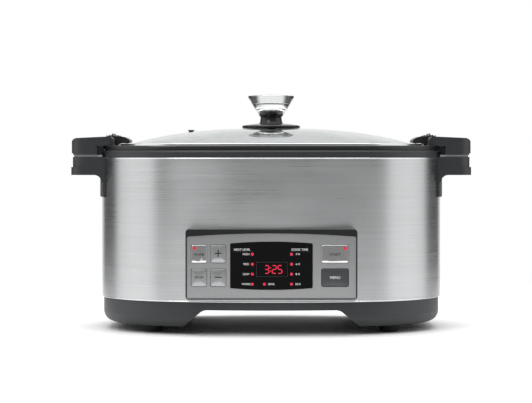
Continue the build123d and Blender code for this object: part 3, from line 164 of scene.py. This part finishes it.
def finish_mesh(name, bm, smooth_angle=35.0):
    """Cleans a bmesh, writes it to a new object at the origin and shades it."""
    bmesh.ops.remove_doubles(bm, verts=bm.verts, dist=0.005 * MM)
    bmesh.ops.recalc_face_normals(bm, faces=bm.faces)
    mesh = bpy.data.meshes.new(name)
    bm.to_mesh(mesh)
    bm.free()
    mesh.shade_smooth()
    mesh.set_sharp_from_angle(angle=math.radians(smooth_angle))
    piece = bpy.data.objects.new(name, mesh)
    bpy.context.scene.collection.objects.link(piece)
    return piece


def dress(piece, material, slot, body, *replaced):
    piece.data.materials.append(material)
    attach(piece, body)
    if replaced:
        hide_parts(*replaced)


def oval_shell(bm, stations, steps):
    """A closed skin around the body's axis: each station is (inset, scale, height)."""

    def place(verts, station):
        inset, scale, height = station
        for vert in verts:
            point = outline_point(math.atan2(vert.co.y, vert.co.x), inset) * scale
            vert.co = (point.x, point.y, height)

    first = bmesh.ops.create_circle(bm, segments=steps, radius=1.0)["verts"]
    place(first, stations[0])
    start = list({edge for vert in first for edge in vert.link_edges})
    edges = start
    for station in stations[1:]:
        grown = bmesh.ops.extrude_edge_only(bm, edges=edges)["geom"]
        edges = [edge for edge in edges_in(grown) if len(edge.link_faces) == 1]
        place(verts_in(grown), station)
    bmesh.ops.bridge_loops(bm, edges=start + edges)


def lathe(bm, profile, centre, steps, axis="Z"):
    """Turns an open profile of (radius, height) about an upright axis, or about Y for axis Y."""
    verts = [bm.verts.new((radius, 0.0, height)) for radius, height in profile]
    edges = [bm.edges.new(pair) for pair in zip(verts, verts[1:])]
    bmesh.ops.spin(
        bm, geom=verts + edges, cent=(0, 0, 0), axis=(0, 0, 1), angle=math.tau, steps=steps, use_merge=True,
    )
    bmesh.ops.remove_doubles(bm, verts=bm.verts, dist=0.002 * MM)
    place = Matrix.Translation(centre)
    if axis == "Y":
        place = place @ Matrix.Rotation(math.radians(90), 4, "X")
    bmesh.ops.transform(bm, matrix=place, verts=bm.verts)


def arc_points(start, end, bulge, count):
    """Points on a curved line between two profile points, bowed sideways by bulge."""
    start, end = Vector(start), Vector(end)
    line = end - start
    side = Vector((line.y, -line.x)).normalized() * bulge
    steps = [index / count for index in range(count + 1)]
    return [tuple(start + line * t + side * 4 * t * (1 - t)) for t in steps]


def bar(bm, centre, size, roll=0.0, soften=0.2):
    """A small bar with softened edges, facing the front; size is its width, depth and height."""
    made = bmesh.ops.create_cube(bm, size=1.0)["verts"]
    place = Matrix.Translation(centre) @ Matrix.Rotation(roll, 4, "Y") @ Matrix.Diagonal((*size, 1.0))
    bmesh.ops.transform(bm, matrix=place, verts=made)
    edges = list({edge for vert in made for edge in vert.link_edges})
    bmesh.ops.bevel(
        bm, geom=edges, offset=min(size) * soften, segments=2, affect="EDGES", profile=0.5, material=-1,
    )


# ------------------------------------------------------------------ materials

def surface(name, colour, roughness, metallic=0.0, scale=(700, 700, 700), bump=0.15, spread=0.06,
            smudge=0.05, sockets=None):
    """A moulded, brushed or coated surface: grain in colour and relief, and soft wear in its gloss."""
    material = bpy.data.materials.new(name)
    material.use_nodes = True
    nodes, links = material.node_tree.nodes, material.node_tree.links
    shader = nodes["Principled BSDF"]
    shader.inputs["Metallic"].default_value = metallic
    for socket, value in (sockets or {}).items():
        shader.inputs[socket].default_value = value
    place = nodes.new("ShaderNodeTexCoord")
    stretch = nodes.new("ShaderNodeMapping")
    stretch.inputs["Scale"].default_value = scale
    links.new(place.outputs["Object"], stretch.inputs["Vector"])
    grain = nodes.new("ShaderNodeTexNoise")
    grain.inputs["Scale"].default_value = 1.0
    grain.inputs["Detail"].default_value = 5.0
    links.new(stretch.outputs["Vector"], grain.inputs["Vector"])
    wear = nodes.new("ShaderNodeTexNoise")
    wear.inputs["Scale"].default_value = 14.0
    wear.inputs["Detail"].default_value = 3.0
    links.new(place.outputs["Object"], wear.inputs["Vector"])

    tint = nodes.new("ShaderNodeValToRGB")
    low, high = tint.color_ramp.elements
    low.position, high.position = 0.3, 0.7
    low.color = (*[value * (1 - spread) for value in colour], 1.0)
    high.color = (*[min(value * (1 + spread), 1.0) for value in colour], 1.0)
    links.new(grain.outputs["Fac"], tint.inputs["Fac"])
    links.new(tint.outputs["Color"], shader.inputs["Base Color"])

    mixed = nodes.new("ShaderNodeMath")
    mixed.operation = "ADD"
    links.new(grain.outputs["Fac"], mixed.inputs[0])
    links.new(wear.outputs["Fac"], mixed.inputs[1])
    gloss = nodes.new("ShaderNodeMapRange")
    gloss.inputs["From Min"].default_value = 0.6
    gloss.inputs["From Max"].default_value = 1.4
    gloss.inputs["To Min"].default_value = max(roughness - smudge, 0.02)
    gloss.inputs["To Max"].default_value = roughness + smudge
    links.new(mixed.outputs["Value"], gloss.inputs["Value"])
    links.new(gloss.outputs["Result"], shader.inputs["Roughness"])

    relief = nodes.new("ShaderNodeBump")
    relief.inputs["Strength"].default_value = bump
    relief.inputs["Distance"].default_value = 0.1 * MM
    links.new(grain.outputs["Fac"], relief.inputs["Height"])
    links.new(relief.outputs["Normal"], shader.inputs["Normal"])
    return material


def brushed_steel():
    """Long horizontal brush lines, and a highlight that stretches upright across them."""
    material = surface(
        "brushed_steel_wrap", colours().steel, 0.30, metallic=1.0, scale=(10, 10, 1500), bump=0.05,
        spread=0.07, smudge=0.05, sockets={"Anisotropic": 0.75, "Anisotropic Rotation": 0.25},
    )
    nodes, links = material.node_tree.nodes, material.node_tree.links
    around = nodes.new("ShaderNodeTangent")
    around.direction_type = "RADIAL"
    around.axis = "Z"
    links.new(around.outputs["Tangent"], nodes["Principled BSDF"].inputs["Tangent"])
    return material


def clear(name, colour, roughness, ior):
    """Clear glass or acrylic, with fine dust and wipe marks in its gloss."""
    return surface(
        name, colour, roughness, scale=(220, 220, 220), bump=0.01, spread=0.01, smudge=0.012,
        sockets={"Transmission Weight": 1.0, "IOR": ior},
    )


def lit(name, colour, strength):
    """A lit lens: fine-grained coloured plastic with an even glow."""
    material = surface(name, [value * 0.6 for value in colour], 0.25, scale=(900, 900, 900), spread=0.1)
    shader = material.node_tree.nodes["Principled BSDF"]
    shader.inputs["Emission Color"].default_value = (*colour, 1.0)
    shader.inputs["Emission Strength"].default_value = strength
    return material


def finishes():
    """Every material slot of the record with the finish it gets."""
    plastic = tuple(colours().plastic)
    silver = tuple(colours().silver)
    coat = {"Coat Weight": 0.25, "Coat Roughness": 0.2}
    return {
        "brushed_steel": brushed_steel(),
        "dark_plastic": surface("satin_moulded_plastic", plastic, 0.42, bump=0.25, spread=0.12),
        "clip_plastic": surface("clip_moulding", (0.010, 0.010, 0.011), 0.36, bump=0.2, spread=0.12),
        "foot_rubber": surface("foot_rubber", (0.012, 0.012, 0.012), 0.7, bump=0.35, spread=0.2),
        "pad_grey": surface("soft_pad", (0.30, 0.31, 0.32), 0.6, bump=0.15, spread=0.1),
        "silicone": surface("seal_silicone", (0.05, 0.05, 0.052), 0.55, bump=0.1),
        "polished_steel": surface(
            "polished_steel", (0.84, 0.85, 0.86), 0.2, metallic=1.0, scale=(60, 60, 1200), bump=0.03,
        ),
        "lid_glass": clear("lid_clear_glass", (0.87, 0.90, 0.90), 0.03, 1.5),
        "knob_clear": clear("knob_acrylic", (0.96, 0.97, 0.975), 0.03, 1.49),
        "bezel_black": surface("bezel_gloss", (0.012, 0.0125, 0.014), 0.22, bump=0.05, sockets=coat),
        "panel_silver": surface(
            "panel_satin_silver", silver, 0.36, metallic=0.85, scale=(900, 900, 900), bump=0.12, spread=0.05,
        ),
        "display_black": surface(
            "display_glass", (0.003, 0.003, 0.0035), 0.06, bump=0.01, spread=0.1, smudge=0.02,
            sockets={"Specular IOR Level": 0.3},
        ),
        "key_silver": surface("key_satin_silver", (0.40, 0.405, 0.41), 0.3, metallic=0.8, bump=0.08),
        "key_chrome": surface(
            "key_mirror_chrome", (0.86, 0.865, 0.87), 0.09, metallic=1.0, bump=0.02, smudge=0.03,
        ),
        "key_dark": surface("key_dark_grey", (0.045, 0.047, 0.05), 0.32, bump=0.1, sockets=coat),
        "pan_coating": surface(
            "pan_nonstick", (0.012, 0.012, 0.0125), 0.34, scale=(1100, 1100, 1100), bump=0.3, spread=0.25,
        ),
        "aluminium": surface("cast_aluminium", (0.6, 0.6, 0.61), 0.38, metallic=1.0, bump=0.3),
        "plain_steel": surface("plain_steel", (0.5, 0.505, 0.51), 0.3, metallic=1.0, bump=0.08),
        "board_green": surface("circuit_board", (0.02, 0.12, 0.06), 0.35, scale=(300, 300, 300), spread=0.3),
        "ribbon_grey": surface("ribbon_cable", (0.35, 0.35, 0.36), 0.5, scale=(1200, 20, 20), spread=0.2),
        "led_red": lit("lamp_lens", tuple(colours().lit), 0.28),
    }


MATERIALS = {}


# ------------------------------------------------------------------ operators

class COOKER_OT_finishes(bpy.types.Operator):
    """Make every finish and give it to the design's own pieces"""

    bl_idname = "cooker.finishes"
    bl_label = "Finishes"

    def execute(self, context):
        MATERIALS.update(finishes())
        MATERIALS["digit"] = lit("digit_light", tuple(colours().lit), 0.75)
        MATERIALS["knob_black"] = surface(
            "knob_black_gloss", (0.010, 0.011, 0.012), 0.16, scale=(400, 400, 400), bump=0.04,
        )
        MATERIALS["print_white"] = surface("white_print", (0.62, 0.62, 0.62), 0.5, scale=(900, 900, 900))
        MATERIALS["print_dark"] = surface("dark_print", (0.03, 0.03, 0.032), 0.5, scale=(900, 900, 900))
        for name, node in NODES.items():
            node.data.materials.clear()
            node.data.materials.append(MATERIALS[SLOT_OF_NODE[name]])
        return {"FINISHED"}


class COOKER_OT_lid_dome(bpy.types.Operator):
    """Build the domed glass of the lid as one smooth shell with a flat border"""

    bl_idname = "cooker.lid_dome"
    bl_label = "Lid dome"

    def execute(self, context):
        border = WRAP_HIGH.x - GLASS_HIGH.x
        start = border + 8.5 * MM      # the flat border ends and the dome begins
        base = WRAP_HIGH.x - start
        glass = sizes().glass
        top, low = GLASS_LOW.z + glass, GLASS_LOW.z
        rise = GLASS_HIGH.z - top
        stations = [(border, 1.0, top), (start - 1.0 * MM, 1.0, top)]
        turns = [0.01, 0.03, 0.06] + [index / 18 for index in range(2, 18)]
        crown = []
        for turn in turns:
            scale = 1 - turn * 0.98
            crown.append((scale, rise * (1 - scale ** 2.45) ** 0.93))
        hole = 3.2 * MM / base
        crown.append((hole, rise))
        stations += [(start, scale, top + height) for scale, height in crown]
        inner = [(start, max(scale - glass / base, hole), low + height * 0.995) for scale, height in crown]
        stations += [(start, hole, low + rise)] + list(reversed(inner[:-1]))
        stations += [(start + glass * 0.7, 1.0, low), (border, 1.0, low)]
        bm = bmesh.new()
        oval_shell(bm, stations, 2 * sizes().around)
        dress(finish_mesh("lid_dome", bm, 50.0), MATERIALS["lid_glass"], "lid_glass", "lid", "lid_glass")
        return {"FINISHED"}


class COOKER_OT_knob(bpy.types.Operator):
    """Turn the knob: the dark skirt, the dark core and the clear flared top"""

    bl_idname = "cooker.knob"
    bl_label = "Knob"

    def turned(self, node, profiles, material, slot):
        """A piece turned from its profiles, which takes the place of its node on the lid."""
        bm = bmesh.new()
        for profile in profiles:
            lathe(bm, profile, (0, 0, 0), sizes().around)
        dress(finish_mesh(node + "_turned", bm), MATERIALS[material], slot, "lid", node)

    def skirt(self):
        low, high, edge = SKIRT_LOW.z, SKIRT_HIGH.z, SKIRT_HIGH.x
        hole, neck = 2.2 * MM, 14.6 * MM
        wall = edge - 1.5 * MM
        slope_foot = (edge - 1.7 * MM, low + 3.1 * MM)
        slope_head = (neck + 1.2 * MM, high - 0.1 * MM)
        profile = [(hole, low), (edge - 1.8 * MM, low)]
        profile += arc_points((wall, low), (wall, low + 3.0 * MM), 0.75 * MM, 10)
        profile += arc_points(slope_foot, slope_head, 0.15 * MM, 14)
        profile += [(neck + 0.6 * MM, high), (hole, high), (hole, low)]
        self.turned("knob_skirt", [profile], "knob_black", "dark_plastic")

    def core(self):
        foot, top, pinch = CORE_LOW.z, CORE_HIGH.z, CONE_LOW.z
        waist = 12.15 * MM
        profile = [(0.0, foot), (14.2 * MM, foot)]
        profile += [(13.5 * MM, foot + 1.1 * MM), (13.0 * MM, foot + 2.5 * MM), (12.7 * MM, foot + 4.4 * MM)]
        profile += [(12.5 * MM, pinch - 0.9 * MM), (waist, pinch - 0.5 * MM), (waist, pinch)]
        profile += [(13.4 * MM, pinch + 2.2 * MM), (14.6 * MM, pinch + 4.6 * MM), (14.9 * MM, top - 5.2 * MM)]
        profile += arc_points((14.95 * MM, top - 4.2 * MM), (10.6 * MM, top - 0.4 * MM), 1.2 * MM, 8)
        profile += [(8.0 * MM, top - 0.1 * MM), (4.0 * MM, top), (0.0, top)]
        self.turned("knob_core", [profile], "knob_black", "dark_plastic")

    def cone(self):
        """The clear top: a flared outside, and a hollow that follows the core from its top down."""
        top, pinch = CORE_HIGH.z, CONE_LOW.z
        crown, rim = CONE_HIGH.z, CONE_HIGH.x
        shoulder = crown - 3.1 * MM
        bow = rim - 1.2 * MM
        mouth = (12.3 * MM, pinch + 0.05 * MM)
        outside = [mouth, (12.65 * MM, pinch + 0.1 * MM)]
        outside += arc_points((12.9 * MM, pinch + 0.5 * MM), (rim - 0.25 * MM, shoulder), 0.25 * MM, 16)
        outside += arc_points((rim - 0.1 * MM, shoulder + 0.4 * MM), (bow, crown - 1.45 * MM), 0.3 * MM, 6)
        outside += [(bow * share, crown - 1.4 * MM * share ** 2) for share in (0.97, 0.8, 0.6, 0.4, 0.2, 0.0)]
        core_edge = (10.6 * MM, top - 0.4 * MM + CORE_GAP)
        core_side = (14.95 * MM + CORE_GAP, top - 4.2 * MM)
        hollow = [(0.0, top + CORE_GAP), (4.0 * MM, top + CORE_GAP), (8.0 * MM, top - 0.1 * MM + CORE_GAP)]
        hollow += arc_points(core_edge, core_side, -1.2 * MM, 8)
        hollow += [(14.9 * MM + CORE_GAP, top - 5.2 * MM), (14.6 * MM + CORE_GAP, pinch + 4.6 * MM)]
        hollow += [(13.4 * MM + CORE_GAP, pinch + 2.2 * MM), mouth]
        self.turned("knob_cone", [outside, hollow], "knob_clear", "knob_clear")

    def execute(self, context):
        self.skirt()
        self.core()
        self.cone()
        return {"FINISHED"}


class COOKER_OT_feet(bpy.types.Operator):
    """Turn the four ribbed rubber feet"""

    bl_idname = "cooker.feet"
    bl_label = "Feet"

    def execute(self, context):
        for node in FOOT_NODES:
            low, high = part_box(node)
            middle = (low + high) / 2
            wide = (high.x - low.x) / 2
            tall = high.z - low.z
            sole = wide - 3.8 * MM
            profile = [(3.9 * MM, tall * 0.5), (3.9 * MM, 0.0), (sole - 2.4 * MM, 0.0)]
            profile += arc_points((sole - 1.2 * MM, 0.05 * MM), (sole + 0.9 * MM, 2.0 * MM), 0.45 * MM, 6)
            for step in range(3):
                height = (3.0 + 1.6 * step) * MM
                reach = sole + (1.2 + 0.75 * step) * MM
                profile += [(reach - 0.35 * MM, height - 0.2 * MM), (reach, height + 0.3 * MM)]
                profile += [(reach + 0.1 * MM, height + 0.8 * MM)]
            profile += [(wide, tall - 0.6 * MM), (wide, tall), (2.3 * MM, tall), (2.3 * MM, tall * 0.5)]
            profile += [(3.9 * MM, tall * 0.5)]
            bm = bmesh.new()
            lathe(bm, profile, (middle.x, middle.y, low.z), 64)
            piece = finish_mesh(node + "_rubber", bm)
            dress(piece, MATERIALS["foot_rubber"], "foot_rubber", "housing", node)
        return {"FINISHED"}


class COOKER_OT_keys(bpy.types.Operator):
    """Build the six crowned keys"""

    bl_idname = "cooker.keys"
    bl_label = "Keys"

    def crowned_key(self, node, mirror):
        """A key with rounded corners and a raised face, whose crest sits low on a mirror key."""
        low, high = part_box(node)
        flange = 0.6 * MM
        size = high - low
        width, height = size.x - 2 * flange, size.z - 2 * flange
        centre = (low + high) / 2
        bm = bmesh.new()
        made = bmesh.ops.create_cube(bm, size=1.0)["verts"]
        depth = size.y - sizes().key_crown
        place = Matrix.Translation((centre.x, high.y - depth / 2, centre.z))
        stretch = Matrix.Diagonal((width, depth, height, 1.0))
        bmesh.ops.transform(bm, matrix=place @ stretch, verts=made)
        upright = [edge for edge in bm.edges if abs(edge.verts[0].co.y - edge.verts[1].co.y) > depth / 2]
        bmesh.ops.bevel(
            bm, geom=upright, offset=2.4 * MM, segments=6, affect="EDGES", profile=0.5, material=-1,
        )
        front = min(bm.faces, key=lambda face: face.calc_center_median().y)
        bmesh.ops.bevel(
            bm, geom=list(front.edges), offset=0.9 * MM, segments=4, affect="EDGES", profile=0.5, material=-1,
        )
        front = min(bm.faces, key=lambda face: face.calc_center_median().y)
        for share in (0.45, 0.30, 0.17, 0.08):
            front = bmesh.ops.extrude_discrete_faces(bm, faces=[front])["faces"][0]
            middle = Matrix.Translation(-front.calc_center_median())
            bmesh.ops.scale(bm, vec=(0.84, 1.0, 0.84), space=middle, verts=front.verts)
            sink = -0.045 * height if mirror else 0.0
            bmesh.ops.translate(bm, vec=(0, -sizes().key_crown * share, sink), verts=front.verts)
        return finish_mesh(node + "_crowned", bm, 55.0)

    def execute(self, context):
        for node in KEY_NODES:
            slot = SLOT_OF_NODE[node]
            dress(self.crowned_key(node, slot == "key_chrome"), MATERIALS[slot], slot, node, node)
        return {"FINISHED"}


class COOKER_OT_marks(bpy.types.Operator):
    """Print the key symbols and the display's marks, and set its digits and lamps"""

    bl_idname = "cooker.marks"
    bl_label = "Marks"

    def word(self, name, text, size, place, material, body):
        """A printed word, centred on its place and facing the front."""
        curve = bpy.data.curves.new(name, "FONT")
        curve.body = text
        curve.size = size
        curve.align_x = "CENTER"
        curve.align_y = "CENTER"
        curve.extrude = 0.04 * MM
        curve.offset = size * 0.02
        holder = bpy.data.objects.new(name, curve)
        mesh = bpy.data.meshes.new_from_object(holder)
        bpy.data.objects.remove(holder)
        bpy.data.curves.remove(curve)
        bm = bmesh.new()
        bm.from_mesh(mesh)
        bpy.data.meshes.remove(mesh)
        turn = Matrix.Translation(place) @ Matrix.Rotation(math.radians(90), 4, "X")
        bmesh.ops.transform(bm, matrix=turn, verts=bm.verts)
        dress(finish_mesh(name, bm), MATERIALS[material], "key_dark", body)

    def key_marks(self):
        for node, text, size in (
            ("key_warm", "WARM", 3.6), ("key_cancel", "STOP", 3.9), ("key_start", "START", 4.2),
            ("key_menu", "MENU", 4.2),
        ):
            low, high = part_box(node)
            centre = (low + high) / 2
            ink = "print_white" if node == "key_menu" else "print_dark"
            drop = -0.8 * MM if node in ("key_warm", "key_start") else 0.0
            self.word(node + "_word", text, size * MM, (centre.x, low.y - SKIN, centre.z + drop), ink, node)
        for node in ("key_plus", "key_minus"):
            low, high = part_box(node)
            centre = (low + high) / 2
            bm = bmesh.new()
            place = (centre.x, low.y, centre.z + 0.5 * MM)
            bar(bm, place, (7.6 * MM, 0.3 * MM, 1.4 * MM))
            if node == "key_plus":
                bar(bm, place, (1.4 * MM, 0.3 * MM, 7.6 * MM))
            dress(finish_mesh(node + "_symbol", bm), MATERIALS["print_dark"], "key_dark", node)
        for node, side in (("key_warm", -1), ("key_start", 1)):
            low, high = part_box(node)
            centre = (low + high) / 2
            reach = (high.x - low.x) / 2 - 4.6 * MM
            place = (centre.x + side * reach, low.y + 0.35 * MM, high.z - 4.6 * MM)
            self.lamp(node + "_lamp", place, 2.1 * MM, node)

    def lamp(self, name, place, radius, body):
        """A small round lens that bulges from its surface."""
        lens = [(0.0, 0.45 * MM), (radius * 0.5, 0.4 * MM), (radius * 0.85, 0.22 * MM), (radius, 0.0)]
        bm = bmesh.new()
        lathe(bm, lens + [(radius, -0.3 * MM), (0.0, -0.3 * MM)], place, 32, axis="Y")
        dress(finish_mesh(name, bm), MATERIALS["led_red"], "led_red", body)

    def digit(self, bm, value, left, low, height):
        """A seven-segment digit, its bars listed from the bottom up, the right one before the left."""
        shown = {"3": "1101101", "2": "1011101", "5": "1101011"}[value]
        width, thick = height * 0.5, height * 0.11
        centre_x = left + width / 2
        mid, top = low + height / 2, low + height
        level_bars = {0: (centre_x, low), 3: (centre_x, mid), 6: (centre_x, top)}
        upright_bars = {
            1: (left + width, low + height / 4), 2: (left, low + height / 4),
            4: (left + width, low + 3 * height / 4), 5: (left, low + 3 * height / 4),
        }
        face = WINDOW_LOW.y - SKIN
        for index, on in enumerate(shown):
            if on == "0":
                continue
            if index in level_bars:
                x, z = level_bars[index]
                bar(bm, (x, face, z), (width - thick, 0.12 * MM, thick), soften=0.45)
            else:
                x, z = upright_bars[index]
                bar(bm, (x, face, z), (thick, 0.12 * MM, height / 2 - thick), soften=0.45)

    def display_marks(self):
        face = WINDOW_LOW.y - SKIN
        height = sizes().digit_height
        step = height * 0.74
        left = -7.2 * MM
        low = WINDOW_LOW.z + 18.4 * MM
        bm = bmesh.new()
        for index, value in enumerate("325"):
            gap = height * 0.2 if index else 0.0
            self.digit(bm, value, left + index * step + gap, low, height)
        for share in (0.3, 0.7):
            bar(bm, (left + step, face, low + height * share), (1.0 * MM, 0.12 * MM, 1.0 * MM), soften=0.4)
        dress(finish_mesh("display_digits", bm), MATERIALS["digit"], "led_red", "housing")

        middle = Vector((0.5 * MM, face, low + height / 2))
        bm = bmesh.new()
        for sign in (-1, 1):
            bar(bm, middle + Vector((0, 0, sign * 8 * MM)), (34 * MM, 0.1 * MM, 0.22 * MM))
            bar(bm, middle + Vector((sign * 17 * MM, 0, 0)), (0.22 * MM, 0.1 * MM, 16 * MM))
            bar(bm, (sign * 31.5 * MM, face, WINDOW_HIGH.z - 11.2 * MM), (23 * MM, 0.1 * MM, 0.2 * MM))
        dress(finish_mesh("display_lines", bm), MATERIALS["key_dark"], "display_black", "housing")

        low_leds, high_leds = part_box("indicator_leds")
        first, last = low_leds.x + 1.5 * MM, high_leds.x - 1.5 * MM
        bottom, top = low_leds.z + 1.5 * MM, high_leds.z - 1.5 * MM
        rows = [top + (bottom - top) * index / 3 for index in range(4)]
        words = (("HIGH", "MED", "LOW", "WARM"), ("4 H", "6 H", "8 H", "10 H"))
        for row, z in enumerate(rows):
            for column, x in enumerate((first, last)):
                side = -1 if column == 0 else 1
                name = f"{'left' if side < 0 else 'right'}_{row + 1}"
                self.lamp("lamp_" + name, (x, WINDOW_LOW.y, z), sizes().lamp_radius, "housing")
                self.word(
                    "label_" + name, words[column][row], 3.1 * MM, (x + side * 6.9 * MM, face, z),
                    "print_white", "housing",
                )
        self.lamp("lamp_sear", (first + 13.3 * MM, WINDOW_LOW.y, bottom), sizes().lamp_radius, "housing")
        self.word("label_sear", "SEAR", 3.1 * MM, (first + 21 * MM, face, bottom), "print_white", "housing")
        heading = WINDOW_HIGH.z - 8.9 * MM
        for name, text, x in (("heat", "HEAT LEVEL", -32.4), ("time", "COOK TIME", 31.2)):
            place = (x * MM, face, heading)
            self.word("heading_" + name, text, 3.4 * MM, place, "print_white", "housing")

    def execute(self, context):
        self.key_marks()
        self.display_marks()
        return {"FINISHED"}


class COOKER_OT_wrap_hem(bpy.types.Operator):
    """Roll the hems along the lower and upper edges of the steel wrap"""

    bl_idname = "cooker.wrap_hem"
    bl_label = "Wrap hem"

    def execute(self, context):
        low = WRAP_LOW.z
        bead = [(0.9, 0.0), (0.2, 0.1), (-0.25, 0.5), (-0.25, 1.0), (0.2, 1.5), (0.9, 1.6)]
        for name, level in (("wrap_hem", low), ("wrap_brow", WRAP_HIGH.z - 1.6 * MM)):
            stations = [(inset * MM, 1.0, level + height * MM) for inset, height in bead]
            bm = bmesh.new()
            oval_shell(bm, stations, 2 * sizes().around)
            dress(finish_mesh(name, bm, 60.0), MATERIALS["polished_steel"], "brushed_steel", "housing")
        return {"FINISHED"}


class COOKER_OT_stage(bpy.types.Operator):
    """Set the pale floor, the soft studio light and the camera"""

    bl_idname = "cooker.stage"
    bl_label = "Stage"

    def floor(self):
        bm = bmesh.new()
        bmesh.ops.create_circle(bm, segments=96, radius=0.9, cap_ends=True)
        piece = finish_mesh("floor", bm)
        material = bpy.data.materials.new("pale_floor")
        material.use_nodes = True
        nodes, links = material.node_tree.nodes, material.node_tree.links
        shader = nodes["Principled BSDF"]
        shader.inputs["Base Color"].default_value = (0.93, 0.93, 0.93, 1.0)
        shader.inputs["Roughness"].default_value = 0.6
        shader.inputs["Specular IOR Level"].default_value = 0.25
        place = nodes.new("ShaderNodeTexCoord")
        reach = nodes.new("ShaderNodeVectorMath")
        reach.operation = "LENGTH"
        links.new(place.outputs["Object"], reach.inputs[0])
        fade = nodes.new("ShaderNodeMapRange")
        fade.inputs["From Min"].default_value = 0.45
        fade.inputs["From Max"].default_value = 0.88
        fade.inputs["To Min"].default_value = 1.0
        fade.inputs["To Max"].default_value = 0.0
        links.new(reach.outputs["Value"], fade.inputs["Value"])
        links.new(fade.outputs["Result"], shader.inputs["Alpha"])
        piece.data.materials.append(material)

    def studio(self, context):
        """White surroundings with bright soft boxes at both sides and darker cards between them."""
        world = bpy.data.worlds.new("studio")
        context.scene.world = world
        world.use_nodes = True
        nodes, links = world.node_tree.nodes, world.node_tree.links
        background = nodes["Background"]
        place = nodes.new("ShaderNodeTexCoord")
        parts = nodes.new("ShaderNodeSeparateXYZ")
        links.new(place.outputs["Generated"], parts.inputs["Vector"])
        flat = nodes.new("ShaderNodeCombineXYZ")
        links.new(parts.outputs["X"], flat.inputs["X"])
        links.new(parts.outputs["Y"], flat.inputs["Y"])
        level = nodes.new("ShaderNodeVectorMath")
        level.operation = "NORMALIZE"
        links.new(flat.outputs["Vector"], level.inputs[0])
        around = nodes.new("ShaderNodeSeparateXYZ")
        links.new(level.outputs["Vector"], around.inputs["Vector"])
        turn = nodes.new("ShaderNodeMapRange")
        turn.inputs["From Min"].default_value = -1.0
        turn.inputs["From Max"].default_value = 1.0
        links.new(around.outputs["Y"], turn.inputs["Value"])
        cards = nodes.new("ShaderNodeValToRGB")
        ramp = cards.color_ramp
        while len(ramp.elements) < len(ROOM_CARDS):
            ramp.elements.new(0.5)
        for element, (position, value) in zip(ramp.elements, ROOM_CARDS):
            element.position = position
            element.color = (value, value, value, 1.0)
        links.new(turn.outputs["Result"], cards.inputs["Fac"])
        overhead = nodes.new("ShaderNodeMapRange")
        overhead.inputs["From Min"].default_value = 0.35
        overhead.inputs["From Max"].default_value = 0.75
        links.new(parts.outputs["Z"], overhead.inputs["Value"])
        roof = nodes.new("ShaderNodeMix")
        roof.data_type = "RGBA"
        roof.inputs["B"].default_value = (1.15, 1.15, 1.15, 1.0)
        links.new(overhead.outputs["Result"], roof.inputs["Factor"])
        links.new(cards.outputs["Color"], roof.inputs["A"])
        seen = nodes.new("ShaderNodeLightPath")
        plain = nodes.new("ShaderNodeMix")
        plain.data_type = "RGBA"
        plain.inputs["B"].default_value = (1.0, 1.0, 1.0, 1.0)
        links.new(seen.outputs["Is Camera Ray"], plain.inputs["Factor"])
        links.new(roof.outputs["Result"], plain.inputs["A"])
        links.new(plain.outputs["Result"], background.inputs["Color"])
        background.inputs["Strength"].default_value = 1.0

    def lamp(self, name, place, aim, size, power):
        data = bpy.data.lights.new(name, "AREA")
        data.shape = "RECTANGLE"
        data.size, data.size_y = size
        data.energy = power
        light = bpy.data.objects.new(name, data)
        bpy.context.scene.collection.objects.link(light)
        light.location = place
        light.rotation_euler = (Vector(aim) - Vector(place)).to_track_quat("-Z", "Y").to_euler()

    def camera(self, context):
        data = bpy.data.cameras.new("camera")
        data.lens = CAMERA_LENS
        data.sensor_width = 36.0
        camera = bpy.data.objects.new("camera", data)
        context.scene.collection.objects.link(camera)
        camera.location = CAMERA_PLACE
        camera.rotation_euler = (math.radians(90 - CAMERA_DROP), 0.0, 0.0)
        context.scene.camera = camera

    def execute(self, context):
        self.floor()
        self.studio(context)
        self.lamp("overhead_soft_box", (0.0, 0.1, 1.7), (0, 0, 0), (1.6, 1.4), 22.0)
        self.lamp("front_soft_box", (-0.9, -1.5, 1.3), (0, 0, 0.1), (0.9, 0.9), 7.0)
        self.camera(context)
        context.scene.view_settings.view_transform = "Standard"
        return {"FINISHED"}


class COOKER_PT_panel(bpy.types.Panel):
    """Lists the cooker's pieces in the sidebar"""

    bl_label = "Slow Cooker"
    bl_idname = "COOKER_PT_panel"
    bl_space_type = "VIEW_3D"
    bl_region_type = "UI"
    bl_category = "Slow Cooker"

    def draw(self, context):
        for operator in STEPS:
            self.layout.operator(operator.bl_idname)
        for group in (context.scene.cooker_sizes, context.scene.cooker_colours):
            for name in group.bl_rna.properties.keys():
                if name not in ("rna_type", "name"):
                    self.layout.prop(group, name)


STEPS = (
    COOKER_OT_finishes, COOKER_OT_lid_dome, COOKER_OT_knob, COOKER_OT_feet, COOKER_OT_keys, COOKER_OT_marks,
    COOKER_OT_wrap_hem, COOKER_OT_stage,
)
CLASSES = (CookerSizes, CookerColours, *STEPS, COOKER_PT_panel)


def register():
    for item in CLASSES:
        bpy.utils.register_class(item)
    bpy.types.Scene.cooker_sizes = PointerProperty(type=CookerSizes)
    bpy.types.Scene.cooker_colours = PointerProperty(type=CookerColours)


def unregister():
    del bpy.types.Scene.cooker_colours
    del bpy.types.Scene.cooker_sizes
    for item in reversed(CLASSES):
        bpy.utils.unregister_class(item)


def main():
    register()
    for operator in STEPS:
        group, name = operator.bl_idname.split(".")
        getattr(getattr(bpy.ops, group), name)()


if __name__ == "__main__":
    main()
